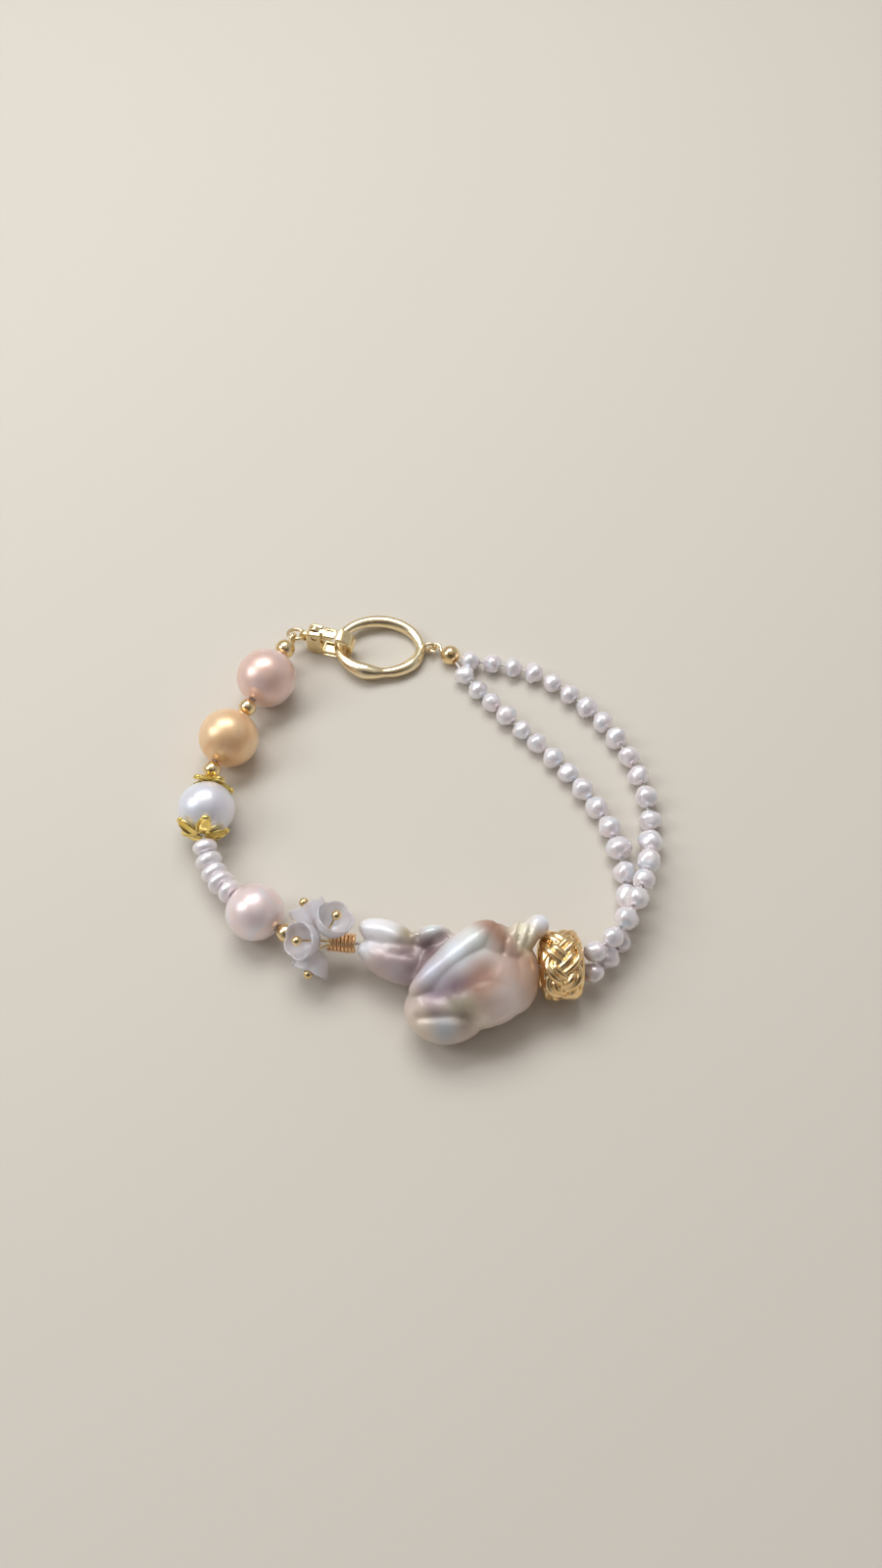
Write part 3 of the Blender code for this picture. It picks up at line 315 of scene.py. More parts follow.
for number, (node, (length, diameter, before, after)) in enumerate(ROUND_PEARLS.items()):
    place = aimed(centre_of(node), centre_of(before) - centre_of(after))
    pearl = spun(node + "_drilled", bead_profile(length, diameter, PEARL_BORE, 40), place, PEARL_STEPS)
    uneven(pearl, 0.10, 4.5, number + 0.7)
    finish, slot = {
        "round_pearl_pink": (PINK_NACRE, "pink_pearl"),
        "round_pearl_golden": (GOLDEN_NACRE, "golden_pearl"),
        "round_pearl_white_a": (BLUE_NACRE, "white_pearl"),
        "round_pearl_white_b": (MAUVE_NACRE, "white_pearl"),
    }[node]
    set_in(pearl, finish, slot, node)


# Five small white button pearls, flat on the sides that meet, drilled through their short way. They sag a
# little between the lower bead cap and the white round pearl.
BUTTON_LENGTH = 1.8
BUTTON_DIAMETERS = (3.3, 3.6, 3.5, 3.7, 3.4)
BUTTON_BORE = 0.72

for number, diameter in enumerate(BUTTON_DIAMETERS, start=1):
    node = f"button_pearl_{number}"
    before = "bead_cap_lower" if number == 1 else f"button_pearl_{number - 1}"
    after = "round_pearl_white_b" if number == len(BUTTON_DIAMETERS) else f"button_pearl_{number + 1}"
    along = centre_of(after) - centre_of(before)
    profile = []
    for i in range(21):
        angle = math.pi * (0.085 + 0.83 * i / 20)
        profile.append((-0.56 * BUTTON_LENGTH * math.copysign(abs(math.cos(angle)) ** 0.9, math.cos(angle)),
                        diameter / 2 * math.sin(angle) ** 0.7))
    profile += [(BUTTON_LENGTH / 3, BUTTON_BORE / 2), (-BUTTON_LENGTH / 3, BUTTON_BORE / 2)]
    pearl = spun(node + "_drilled", profile, aimed(centre_of(node), along), 40)
    uneven(pearl, 0.16, 1.7, 3.1 * number)
    set_in(pearl, WHITE_NACRE, "white_pearl", node)


# Plain round beads of gold-plated brass: three small ones between the pearls and two larger ones that close
# the string's ends, each with an open hole whose edge is rolled inwards.
GOLD_BEADS = {
    "gold_bead_mid": (2.5, "round_pearl_pink", "round_pearl_golden"),
    "gold_bead_cap": (2.5, "round_pearl_golden", "round_pearl_white_a"),
    "gold_bead_flower": (2.5, "flower_bell_2", "round_pearl_white_b"),
    "end_bead_left": (2.9, "clasp_link", "round_pearl_pink"),
    "end_bead_right": (2.9, "end_loop_right", "strand_outer"),
}


def build_gold_surface():
    """Plated metal: a warm tone that wanders a little, faint polishing marks and a soft swell."""
    group, given, out = new_group(
        "plated gold surface",
        [("Light Tone", "Color"), ("Deep Tone", "Color"), ("Roughness Low", "Float"),
         ("Roughness High", "Float"), ("Swell Scale", "Float"), ("Swell", "Float")],
        [("Color", "Color"), ("Roughness", "Float"), ("Normal", "Vector")])
    place = group.nodes.new("ShaderNodeTexCoord").outputs["Object"]
    broad = socket_node(group, "ShaderNodeTexNoise", {
        "Vector": place, "Scale": given.outputs["Swell Scale"], "Detail": 2.0})
    spread = socket_node(group, "ShaderNodeMapRange", {
        "Value": broad.outputs["Fac"], "From Min": 0.38, "From Max": 0.62})
    tone = socket_node(group, "ShaderNodeMix", {
        "Factor": spread.outputs["Result"], 6: given.outputs["Deep Tone"],
        7: given.outputs["Light Tone"]}, data_type="RGBA")
    marks = socket_node(group, "ShaderNodeTexNoise", {
        "Vector": place, "Scale": 5200.0, "Detail": 4.0, "Roughness": 0.7})
    gloss = socket_node(group, "ShaderNodeMapRange", {
        "Value": marks.outputs["Fac"], "From Min": 0.3, "From Max": 0.7,
        "To Min": given.outputs["Roughness Low"], "To Max": given.outputs["Roughness High"]})
    wave = socket_node(group, "ShaderNodeBump", {
        "Height": broad.outputs["Fac"], "Strength": given.outputs["Swell"], "Distance": 0.00012})
    hand_out(group, out, tone.outputs[2], gloss, wave)
    return group


GOLD_SURFACE = build_gold_surface()


def plated(name, light, deep, roughness=(0.10, 0.17), swell_size=1.2, swell=0.15):
    return finish_of(name, GOLD_SURFACE, {
        "Light Tone": (*light, 1), "Deep Tone": (*deep, 1), "Roughness Low": roughness[0],
        "Roughness High": roughness[1], "Swell Scale": 1 / (swell_size * MM), "Swell": swell,
    }, {"Metallic": 1.0})


BEAD_GOLD = plated("bead_gold", (0.94, 0.76, 0.46), (0.88, 0.65, 0.33), roughness=(0.14, 0.22))

for node, (diameter, before, after) in GOLD_BEADS.items():
    place = aimed(centre_of(node), centre_of(before) - centre_of(after))
    bead = spun(node + "_turned", bead_profile(diameter, diameter, PEARL_BORE, 30), place, 48)
    set_in(bead, BEAD_GOLD, "polished_gold", node)


# Two five-petal caps of thin yellow-gold sheet that hold the bluish round pearl from both ends. Each petal is
# cupped along its middle, and its tip is rolled back away from the pearl.
CAP_PETALS = 5
CAP_HUG = 3.97
CAP_WALL = 0.22
CAP_HOLE_ANGLE = 0.117
CAP_LEVELS = (0.0, 0.16, 0.32, 0.46, 0.58, 0.68, 0.77, 0.85, 0.92, 0.97, 1.0)
CAP_STEPS = 100
TIP_LIFT = 0.62
TIP_SIZE = (0.34, 0.34, 0.62)
CAP_GOLD = plated("petal_gold", (0.93, 0.74, 0.26), (0.86, 0.62, 0.16), swell_size=0.9, swell=0.25)


def skinned_grid(name, rows, place):
    """Thin sheet through rows of points in mm: each row runs round, and rows follow from base to edge."""
    count = len(rows[0])
    bpy.ops.mesh.primitive_grid_add(x_subdivisions=count, y_subdivisions=len(rows) - 1, size=1,
                                    location=(0, 0, 0))
    made = named(name)
    wide = count + 1
    for j, row in enumerate(rows):
        for i in range(wide):
            made.data.vertices[j * wide + i].co = Vector(row[i % count]) * MM
    welded()
    bpy.ops.object.shade_smooth()
    made.data.transform(place)
    return made


def applied(made, kind, **settings):
    step = made.modifiers.new(kind.title(), kind)
    for key, value in settings.items():
        setattr(step, key, value)
    bpy.context.view_layer.objects.active = made
    bpy.ops.object.modifier_apply(modifier=step.name)


def joined(name, pieces):
    bpy.ops.object.select_all(action="DESELECT")
    for piece in pieces:
        piece.select_set(True)
    bpy.context.view_layer.objects.active = pieces[0]
    bpy.ops.object.join()
    return named(name)


pearl_centre = centre_of("round_pearl_white_a")
pearl_line = (centre_of("bead_cap_upper") - centre_of("bead_cap_lower")).normalized()
for node, side, turn, spread in (("bead_cap_lower", -1, 0.0, 1.0), ("bead_cap_upper", 1, 0.3, 0.80)):
    place = aimed(pearl_centre, pearl_line * side)
    rows = []
    for level in CAP_LEVELS:
        row = []
        for i in range(CAP_STEPS):
            angle = math.tau * i / CAP_STEPS
            petal = abs(math.cos(CAP_PETALS * (angle + turn) / 2))
            edge = math.radians(20 + 30 * petal) * spread
            polar = CAP_HOLE_ANGLE + (edge - CAP_HOLE_ANGLE) * level
            cup = 0.40 * (1 - petal ** 2) * level ** 2
            lift = CAP_HUG + 2.6 * petal * max(0, level - 0.5) ** 2 + cup
            row.append((lift * math.cos(polar), lift * math.sin(polar) * math.cos(angle),
                        lift * math.sin(polar) * math.sin(angle)))
        rows.append(row)
    cap = skinned_grid(node + "_petals", rows, place)
    applied(cap, "SOLIDIFY", thickness=CAP_WALL * MM, offset=1)
    applied(cap, "SUBSURF", levels=1, render_levels=1)
    tips = []
    for i in range(CAP_PETALS):
        angle = math.tau * i / CAP_PETALS - turn
        polar = math.radians(48) * spread
        reach = CAP_HUG + TIP_LIFT
        tip = Vector((reach * math.cos(polar), reach * math.sin(polar) * math.cos(angle),
                      reach * math.sin(polar) * math.sin(angle)))
        bpy.ops.mesh.primitive_uv_sphere_add(segments=20, ring_count=12, radius=1, location=(0, 0, 0))
        roll = bpy.context.object
        roll.data.transform(place @ Matrix.Translation(tip * MM) @ Matrix.Rotation(angle, 4, "X")
                            @ Matrix.Diagonal((*(Vector(TIP_SIZE) * MM), 1)))
        bpy.ops.object.shade_smooth()
        tips.append(roll)
    cap = joined(node + "_petals", [cap, *tips])
    set_in(cap, CAP_GOLD, "polished_gold", node)


# Two strands of small near-round white pearls between the right end bead and the woven slide. Every pearl is
# drilled, a little longer or flatter than round, and has shallow dimples; fine thread shows between them.
# Each strand follows the route's chosen points, in mm before the scale and shift that fit the loop to its
# pieces, each with its height. The outer strand is carried over the inner one, and bare thread leads both in.
STRAND_PEARL = 2.8
STRAND_ENTRY = 1.2
STRAND_BORE = 0.5
STRAND_THREAD = 0.17
ROUTE_SCALE = 0.99
ROUTE_SHIFT = (-0.10, -0.38)
STRANDS = {
    "outer": (20, 0.2, (
        (5.5, 26.5, 1.45), (8.5, 26.2, 1.5), (11.3, 25.8, 1.5), (17.2, 24.0, 1.5), (22.2, 20.2, 1.5),
        (26.6, 15.3, 1.5), (29.9, 9.6, 1.5), (31.9, 3.0, 1.5), (32.0, -3.5, 1.65), (30.6, -10.2, 3.8),
        (27.8, -16.4, 5.15), (24.6, -21.0, 5.0), (22.7, -22.2, 5.1), (20.0, -22.6, 5.0))),
    "inner": (18, 1.0, (
        (5.2, 26.1, 1.45), (6.7, 23.4, 1.5), (9.1, 20.4, 1.5), (13.7, 15.2, 1.5), (18.4, 10.2, 1.5),
        (22.5, 4.8, 1.5), (25.7, -0.5, 1.5), (27.6, -6.5, 1.5), (28.1, -12.6, 1.5), (27.2, -18.2, 1.5),
        (22.8, -24.0, 2.95), (20.1, -23.9, 3.2))),
}
SEED_NACRE = nacre("seed_pearl_nacre", (0.92, 0.88, 0.91), (0.94, 0.83, 0.86), (0.80, 0.88, 0.96), 2.2,
                   share=0.75, swell=0.04, gloss=(0.26, 0.34))


def build_thread_look():
    """White twisted thread: fine slanting plies."""
    made = bpy.data.materials.new("twisted_thread")
    made.use_nodes = True
    tree = made.node_tree
    place = tree.nodes.new("ShaderNodeTexCoord").outputs["Object"]
    plies = socket_node(tree, "ShaderNodeTexWave", {"Vector": place, "Scale": 1400.0, "Distortion": 1.5},
                        wave_type="BANDS", bands_direction="DIAGONAL").outputs["Fac"]
    tone = socket_node(tree, "ShaderNodeMix", {
        "Factor": plies, 6: (0.66, 0.62, 0.57, 1), 7: (0.86, 0.83, 0.79, 1)}, data_type="RGBA")
    relief = socket_node(tree, "ShaderNodeBump", {"Height": plies, "Strength": 0.5, "Distance": 0.00003})
    shader = tree.nodes["Principled BSDF"]
    tree.links.new(tone.outputs[2], shader.inputs["Base Color"])
    tree.links.new(relief.outputs["Normal"], shader.inputs["Normal"])
    shader.inputs["Roughness"].default_value = 0.75
    return made


THREAD_LOOK = build_thread_look()


def wire_piece(name, points, radius, radii=None, closed=False, sides=12):
    """Round wire along points in mm, finished as a mesh."""
    line = bpy.data.curves.new(name, "CURVE")
    line.dimensions = "3D"
    line.bevel_depth = radius * MM
    line.bevel_resolution = max(0, sides // 2 - 2)
    line.use_fill_caps = True
    spline = line.splines.new("POLY")
    spline.points.add(len(points) - 1)
    for i, point in enumerate(points):
        spline.points[i].co = (*(Vector(point) * MM), 1)
        spline.points[i].radius = radii[i] if radii else 1
    spline.use_cyclic_u = closed
    spline.use_smooth = True
    made = bpy.data.objects.new(name, line)
    bpy.context.scene.collection.objects.link(made)
    picked(made)
    bpy.ops.object.convert(target="MESH")
    welded(gap=0.002)
    return bpy.context.object


def smooth_curve(points):
    """Dense smooth curve through a few points, and the running length at each of its points."""
    last = len(points) - 1
    dense = []
    for i in range(last):
        a, b, c, d = (np.array(points[min(max(i + k, 0), last)]) for k in (-1, 0, 1, 2))
        for t in np.linspace(0, 1, 24, endpoint=False):
            dense.append(0.5 * (2 * b + (c - a) * t + (2 * a - 5 * b + 4 * c - d) * t ** 2
                                + (3 * b - a - 3 * c + d) * t ** 3))
    dense = np.array(dense + [np.array(points[last])])
    return dense, np.concatenate([[0], np.cumsum(np.linalg.norm(np.diff(dense, axis=0), axis=1))])


def strand_half_width(share, number):
    """The strand swells a little in its second half, and no two pearls are alike."""
    swell = np.interp(share, (0, 0.25, 0.45, 0.65, 0.85, 1), (0.95, 0.95, 1.0, 1.10, 1.0, 0.92))
    return STRAND_PEARL / 2 * float(swell) * (1 + 0.035 * math.sin(2.4 * number + 0.6))


draw = random.Random(7)
for side, (count, lead, route) in STRANDS.items():
    across, back = ROUTE_SHIFT
    route = [(x * ROUTE_SCALE + across, y * ROUTE_SCALE + back, z) for x, y, z in route]
    dense, run = smooth_curve(route)
    halves = [strand_half_width((i + 0.5) / count, i) for i in range(count)]
    spacing = (run[-1] - lead - STRAND_ENTRY) / sum(halves)
    line = [Vector(route[0])]
    for i, half_width in enumerate(halves):
        along = lead + spacing * (sum(halves[:i]) + half_width / 2)
        line.append(Vector([np.interp(along, run, dense[:, axis]) for axis in range(3)]))
    line.append(Vector(route[-1]))
    beads = []
    for i, half_width in enumerate(halves):
        along = line[i + 2] - line[i]
        stretch = draw.uniform(1.04, 1.20)
        width = 2 * half_width * draw.uniform(1.05, 1.12)
        length = 2 * 0.95 * half_width * stretch
        profile = bead_profile(length, width, STRAND_BORE, 14)
        skew = Vector((draw.uniform(-0.10, 0.10), draw.uniform(-0.10, 0.10), draw.uniform(-0.10, 0.10)))
        bead = spun("strand_pearl", profile, aimed(line[i + 1] * MM, along.normalized() + skew), 24)
        uneven(bead, 0.26, 1.5, draw.uniform(0, 90))
        uneven(bead, 0.10, 0.55, draw.uniform(0, 90))
        lowest = min(corner.co.z for corner in bead.data.vertices)
        bead.data.transform(Matrix.Translation((0, 0, max(0, -lowest))))
        beads.append(bead)
    set_in(joined(side + "_strand_pearls", beads), SEED_NACRE, "white_pearl", "strand_" + side)
    thread = wire_piece(side + "_strand_thread", line, STRAND_THREAD)
    set_in(thread, THREAD_LOOK, "white_thread", "strand_" + side)


# Slide bead of cast gold: a barrel band covered by a three-strand braid that runs round it, each strand of
# two wires side by side. They pass over and under each other, and the casting fuses them into one skin.
WOVEN_PLACE = aimed(Vector((18.031, -23.914, 4.5)) * MM, (-0.9989, -0.0468, 0.0))
WOVEN_DIAMETER = 9.0
WOVEN_WIDTH = 6.0
WOVEN_HOLE = 5.2
BRAID_REPEATS = 3
BRAID_SWING = 1.58
BRAID_LIFT = 0.34
BRAID_WIRE = 0.46
BRAID_SPACING = 0.90
BRAID_STEPS = 144


def smoothed(made, voxel, factor, iterations):
    """Fuses what a piece is made of into one skin and softens it, sizes in mm."""
    applied(made, "REMESH", mode="VOXEL", voxel_size=voxel * MM, use_smooth_shade=True)
    applied(made, "SMOOTH", factor=factor, iterations=iterations)


def build_woven_slide():
    mid = WOVEN_DIAMETER / 2 - BRAID_WIRE - BRAID_LIFT * 0.8
    half = WOVEN_WIDTH / 2
    hole = WOVEN_HOLE / 2
    band = spun("woven_band", [(-half + 0.5, mid - 0.25), (0, mid + 0.05), (half - 0.5, mid - 0.25),
                               (half - 0.25, mid - 0.7), (half - 0.4, hole), (0, hole - 0.08),
                               (-half + 0.4, hole), (-half + 0.25, mid - 0.7)], Matrix(), 72)
    parts = [band]
    for strand in range(3):
        for side in (-0.5, 0.5):
            points = []
            for i in range(BRAID_STEPS):
                angle = math.tau * i / BRAID_STEPS
                phase = BRAID_REPEATS * angle + strand * math.tau / 3
                lateral = BRAID_SWING * math.sin(phase)
                slope = BRAID_SWING * BRAID_REPEATS * math.cos(phase) / mid
                lean = 1 / math.hypot(1, slope)
                offset = side * BRAID_SPACING
                x = lateral + offset * lean
                turn = angle - offset * slope * lean / mid
                barrel = 0.10 * (x / half) ** 2 * mid
                radius = mid - barrel + BRAID_LIFT * math.sin(2 * phase)
                points.append((x, radius * math.cos(turn), radius * math.sin(turn)))
            parts.append(wire_piece("braid_wire", points, BRAID_WIRE, closed=True, sides=10))
    slide = joined("woven_slide", parts)
    smoothed(slide, 0.085, 0.5, 2)
    slide.data.transform(WOVEN_PLACE)
    return slide


CAST_GOLD = plated("cast_braid_gold", (0.96, 0.74, 0.42), (0.89, 0.58, 0.26), roughness=(0.12, 0.22),
                   swell_size=0.8, swell=0.2)
set_in(build_woven_slide(), CAST_GOLD, "polished_gold", "woven_ring")


# Big baroque pearl, grown in lobes round a twisted ridge, with a creased lower lip, finger-like tail lobes on
# its left and folded cream lumps and a fin on its right. It is one thick body of satin nacre, drilled along
# its length. Lobes are a middle and half sizes in mm along, across and up from the left end of its bore, then
# a turn about the upright and a pitch in degrees.
BAROQUE_START = Vector((-7.948, -20.783, 0))
BAROQUE_END = Vector((15.02, -24.012, 0))
BORE_HEIGHT = 4.176
BAROQUE_BORE = 1.0
BAROQUE_LOBES = {
    "body": (15.6, -3.2, 5.3, 7.3, 6.3, 5.3, 0, 0),
    "foot": (12.5, -7.2, 4.3, 5.3, 4.5, 4.06, 8, 0),
    "ridge": (12.8, -1.9, 7.4, 7.2, 2.8, 3.4, 46, -14),
    "brow": (16.2, -4.6, 7.6, 4.64, 3.9, 2.7, 0, 0),
    "shoulder": (17.3, 0.5, 7.3, 4.4, 3.2, 3.35, 0, 0),
    "neck": (20.9, -2.2, 4.9, 2.85, 4.6, 3.9, 0, 0),
    "cream_fold_near": (19.9, 1.9, 7.9, 1.05, 2.4, 2.2, -12, 0),
    "cream_fold_mid": (21.1, 2.2, 7.8, 1.00, 2.3, 2.2, -14, 0),
    "cream_fold_far": (22.1, 2.6, 7.6, 0.85, 2.1, 2.1, -18, 0),
    "fin": (22.5, 3.8, 8.0, 1.7, 1.55, 1.6, 50, 0),
    "web": (8.5, -0.8, 4.2, 3.5, 2.6, 2.4, 0, 0),
    "tail": (5.3, -1.5, 4.0, 5.2, 2.85, 3.25, -16, 0),
    "finger": (3.8, 1.0, 5.9, 3.9, 1.9, 1.95, -12, 0),
    "white_lobe": (9.6, 1.2, 6.8, 2.7, 1.4, 1.95, 8, 0),
    "knob": (1.2, -0.9, 4.5, 1.1, 1.1, 1.28, 0, 0),
}
# Grooves and crests pressed into the grown skin: half width, depth (crests negative), points in mm as above.
BAROQUE_MARKS = (
    (1.00, 0.90, (6.9, -5.6, 6.0), (8.6, -3.8, 7.6), (10.0, -1.8, 8.4), (11.1, 0.2, 8.8), (12.6, 2.4, 9.0)),
    (1.2, -0.50, (8.5, -6.6, 7.7), (10.6, -4.8, 9.6), (12.7, -2.9, 10.4), (14.6, -0.7, 10.8),
     (16.7, 1.1, 10.5)),
    (1.50, 0.45, (11.5, -7.6, 8.6), (13.8, -6.5, 9.9), (16.0, -4.8, 10.6), (17.6, -3.2, 10.6)),
    (0.66, 0.46, (9.4, -9.8, 6.7), (11.3, -9.7, 7.5), (13.5, -9.4, 7.7), (15.1, -9.3, 7.4),
     (17.0, -9.3, 7.2)),
    (0.90, -0.12, (10.0, -8.2, 7.6), (12.4, -7.9, 8.5), (15.3, -8.0, 8.8)),
    (0.65, 0.30, (2.0, -0.4, 6.6), (4.2, -1.8, 6.9), (6.0, -1.9, 7.0), (7.4, -1.4, 7.1)),
    (0.60, -0.20, (0.7, 1.3, 7.0), (2.8, 0.9, 7.7), (5.3, 0.2, 7.6)),
    (0.45, 0.60, (7.2, 2.8, 7.0), (7.4, 1.4, 7.9), (7.6, -0.4, 7.4)),
    (0.50, 0.50, (12.4, 3.2, 7.6), (12.2, 1.6, 8.6), (11.9, 0.4, 8.8)),
    (0.40, 0.35, (19.0, 3.2, 8.6), (18.9, 0.6, 10.2), (18.9, -1.0, 10.0)),
    (0.26, 0.36, (20.5, 4.0, 9.2), (20.5, 1.8, 10.0), (20.4, 0.0, 9.2)),
    (0.24, 0.34, (21.7, 4.0, 9.0), (21.7, 2.0, 9.8), (21.5, 0.4, 8.8)),
)
# Colours of the nacre, with painted highlights on the ridge crest, the knob, the finger and the white lobe,
# and painted shade in the valleys, the crease and on the ridge's shaded side: middle of each patch in mm as
# above, its reach, its colour and how far it takes over.
BAROQUE_TINTS_AND_PAINTED_LIGHT = (
    # the warm slope and the brown heart of the body
    ((19.3, -4.4, 10.0), 2.4, (0.68, 0.50, 0.42), 0.60),
    ((16.6, -5.3, 10.6), 2.9, (0.24, 0.075, 0.025), 0.95),
    ((15.4, -3.4, 10.6), 1.8, (0.44, 0.22, 0.14), 0.65),
    ((16.9, -6.9, 9.9), 2.2, (0.30, 0.12, 0.055), 0.90),
    ((18.4, -7.2, 9.3), 1.8, (0.48, 0.29, 0.18), 0.65),
    # painted shade: dark mauve on the ridge's shaded side
    ((13.2, -6.3, 9.5), 2.1, (0.23, 0.12, 0.16), 0.95),
    ((11.0, -7.0, 8.3), 1.9, (0.28, 0.16, 0.21), 0.95),
    # painted highlight: bluish white along the ridge crest
    ((15.5, 0.2, 10.7), 2.2, (0.88, 0.98, 0.96), 1.00),
    ((12.9, -2.3, 10.4), 2.2, (0.84, 0.92, 0.99), 1.00),
    ((10.3, -4.6, 9.3), 2.0, (0.82, 0.84, 0.97), 0.95),
    # olive above the crease
    ((15.3, -8.2, 8.5), 1.5, (0.42, 0.42, 0.26), 0.70),
    ((13.4, -8.3, 8.2), 1.3, (0.48, 0.45, 0.33), 0.65),
    # painted shade: dark band in the crease under the lower lip
    ((11.3, -9.5, 7.4), 1.3, (0.20, 0.12, 0.12), 0.95),
    ((15.1, -9.3, 7.2), 1.2, (0.26, 0.19, 0.14), 0.80),
    # own colours: the facet below the crease, the lower body, the brown rim, the cream folds and the fin
    ((12.7, -10.8, 6.6), 1.6, (0.44, 0.50, 0.55), 0.90),
    ((9.5, -10.6, 5.8), 2.2, (0.74, 0.64, 0.50), 0.70),
    ((8.0, -8.0, 6.3), 1.8, (0.66, 0.56, 0.46), 0.60),
    ((17.4, -9.1, 6.5), 1.6, (0.84, 0.76, 0.60), 0.75),
    ((19.5, -7.7, 7.6), 2.2, (0.84, 0.70, 0.66), 0.80),
    ((20.9, -6.1, 8.0), 2.0, (0.92, 0.80, 0.78), 0.80),
    ((17.9, 2.5, 9.9), 2.7, (0.30, 0.11, 0.04), 0.95),
    ((19.0, 1.0, 10.2), 1.8, (0.32, 0.13, 0.06), 0.85),
    ((16.5, 2.6, 9.8), 1.8, (0.36, 0.16, 0.08), 0.75),
    ((21.9, -0.6, 7.8), 2.3, (0.42, 0.20, 0.11), 0.90),
    ((22.7, -3.5, 6.5), 2.4, (0.60, 0.38, 0.25), 0.80),
    ((20.9, 2.6, 9.7), 1.9, (0.95, 0.90, 0.70), 1.00),
    ((21.6, 0.9, 9.0), 1.2, (0.93, 0.86, 0.66), 0.90),
    ((23.3, 4.6, 8.8), 1.6, (0.90, 0.92, 1.00), 1.00),
    # the finger's own pale nacre, brightened further by a painted highlight along its top, then its tan tip
    ((1.7, 1.3, 7.2), 2.6, (0.96, 0.96, 1.00), 1.00),
    ((4.2, 0.8, 7.6), 2.0, (0.95, 0.95, 0.98), 0.95),
    ((6.5, 0.9, 7.2), 1.3, (0.46, 0.39, 0.20), 0.90),
    ((5.8, -1.2, 7.1), 1.2, (0.60, 0.54, 0.44), 0.60),
    # the white lobe's own pale nacre, with a painted highlight on its flat top
    ((9.7, 1.5, 8.6), 1.8, (0.92, 1.00, 1.00), 1.00),
    # painted shade: dark mauve in the valleys round the white lobe, the finger and the tail
    ((9.6, -0.9, 7.3), 2.1, (0.14, 0.08, 0.085), 0.98),
    ((7.9, -3.0, 6.5), 2.3, (0.18, 0.105, 0.115), 0.95),
    ((11.2, 0.6, 8.0), 1.1, (0.20, 0.12, 0.11), 0.80),
    ((6.4, -2.3, 6.6), 2.2, (0.26, 0.17, 0.18), 0.85),
    # mauve of the tail's underside
    ((3.7, -2.9, 6.2), 1.8, (0.46, 0.35, 0.35), 0.85),
    ((6.2, -4.3, 5.2), 1.8, (0.46, 0.38, 0.42), 0.85),
    # painted highlight on the knob at the left tip
    ((1.0, -1.2, 5.6), 1.1, (0.92, 0.95, 1.00), 0.95),
)
BAROQUE_BODY_COLOUR = (0.72, 0.57, 0.51)


def distance_to_line(points, line):
    """Shortest distance from each of many points to a line of a few points."""
    found = np.full(len(points), 1e9)
    for a, b in zip(line, line[1:]):
        a = np.array(a)
        step = np.array(b) - a
        share = np.clip((points - a) @ step / (step @ step), 0, 1)
        found = np.minimum(found, np.linalg.norm(points - a - share[:, None] * step, axis=1))
    return found


def build_baroque_pearl():
    parts = []
    for along, across, up, half_along, half_across, half_up, turn, pitch in BAROQUE_LOBES.values():
        bpy.ops.mesh.primitive_uv_sphere_add(segments=32, ring_count=20, radius=1, location=(0, 0, 0))
        lobe = bpy.context.object
        tilt = Matrix.Rotation(math.radians(turn), 4, "Z") @ Matrix.Rotation(math.radians(pitch), 4, "Y")
        middle = Matrix.Translation(Vector((along, across, up)))
        lobe.data.transform(middle @ tilt @ Matrix.Diagonal((half_along, half_across, half_up, 1)))
        lobe.data.transform(Matrix.Scale(MM, 4))
        parts.append(lobe)
    pearl = joined("baroque_pearl_grown", parts)
    smoothed(pearl, 0.16, 0.5, 14)
    mesh = pearl.data
    count = len(mesh.vertices)
    flat = np.zeros(count * 3)
    mesh.vertices.foreach_get("co", flat)
    points = flat.reshape(-1, 3) / MM
    mesh.vertices.foreach_get("normal", flat)
    outward = flat.reshape(-1, 3).copy()
    push = np.zeros(count)
    for width, depth, *line in BAROQUE_MARKS:
        push -= depth * np.exp(-(distance_to_line(points, line) / width) ** 2)
    for i, point in enumerate(points):
        push[i] += 0.10 * noise.noise(Vector(point) / 2.4)
    points = points + outward * push[:, None]
    mesh.vertices.foreach_set("co", (points * MM).ravel())
    # Paints the grown tints into the vertex colours, together with painted highlights on the ridge, knob,
    # finger and white lobe and painted shade in the valleys, the crease and the ridge's shaded side.
    colour = np.tile(np.array(BAROQUE_BODY_COLOUR), (count, 1))
    for middle, reach, tint_and_painted_light, strength in BAROQUE_TINTS_AND_PAINTED_LIGHT:
        apart = (points - np.array(middle)) * (1.0, 1.0, 0.45)
        near = strength * np.exp(-(np.linalg.norm(apart, axis=1) / reach) ** 2)
        colour = colour * (1 - near[:, None]) + np.array(tint_and_painted_light) * near[:, None]
    layer = mesh.color_attributes.new("nacre_tint_and_painted_light", "FLOAT_COLOR", "POINT")
    layer.data.foreach_set("color", np.column_stack([colour, np.ones(count)]).ravel())
    applied(pearl, "SMOOTH", factor=0.5, iterations=2)
    bpy.ops.mesh.primitive_cylinder_add(vertices=24, radius=BAROQUE_BORE / 2 * MM, depth=40 * MM,
                                        location=(0, 0, 0), rotation=(0, math.radians(90), 0))
    drill = bpy.context.object
    drill.location = (0, 0, BORE_HEIGHT * MM)
    applied(pearl, "BOOLEAN", operation="DIFFERENCE", object=drill, solver="EXACT")
    bpy.data.objects.remove(drill)
    pearl.data.transform(aimed(BAROQUE_START * MM, BAROQUE_END - BAROQUE_START))
    picked(pearl)
    bpy.ops.object.shade_smooth()
    return pearl


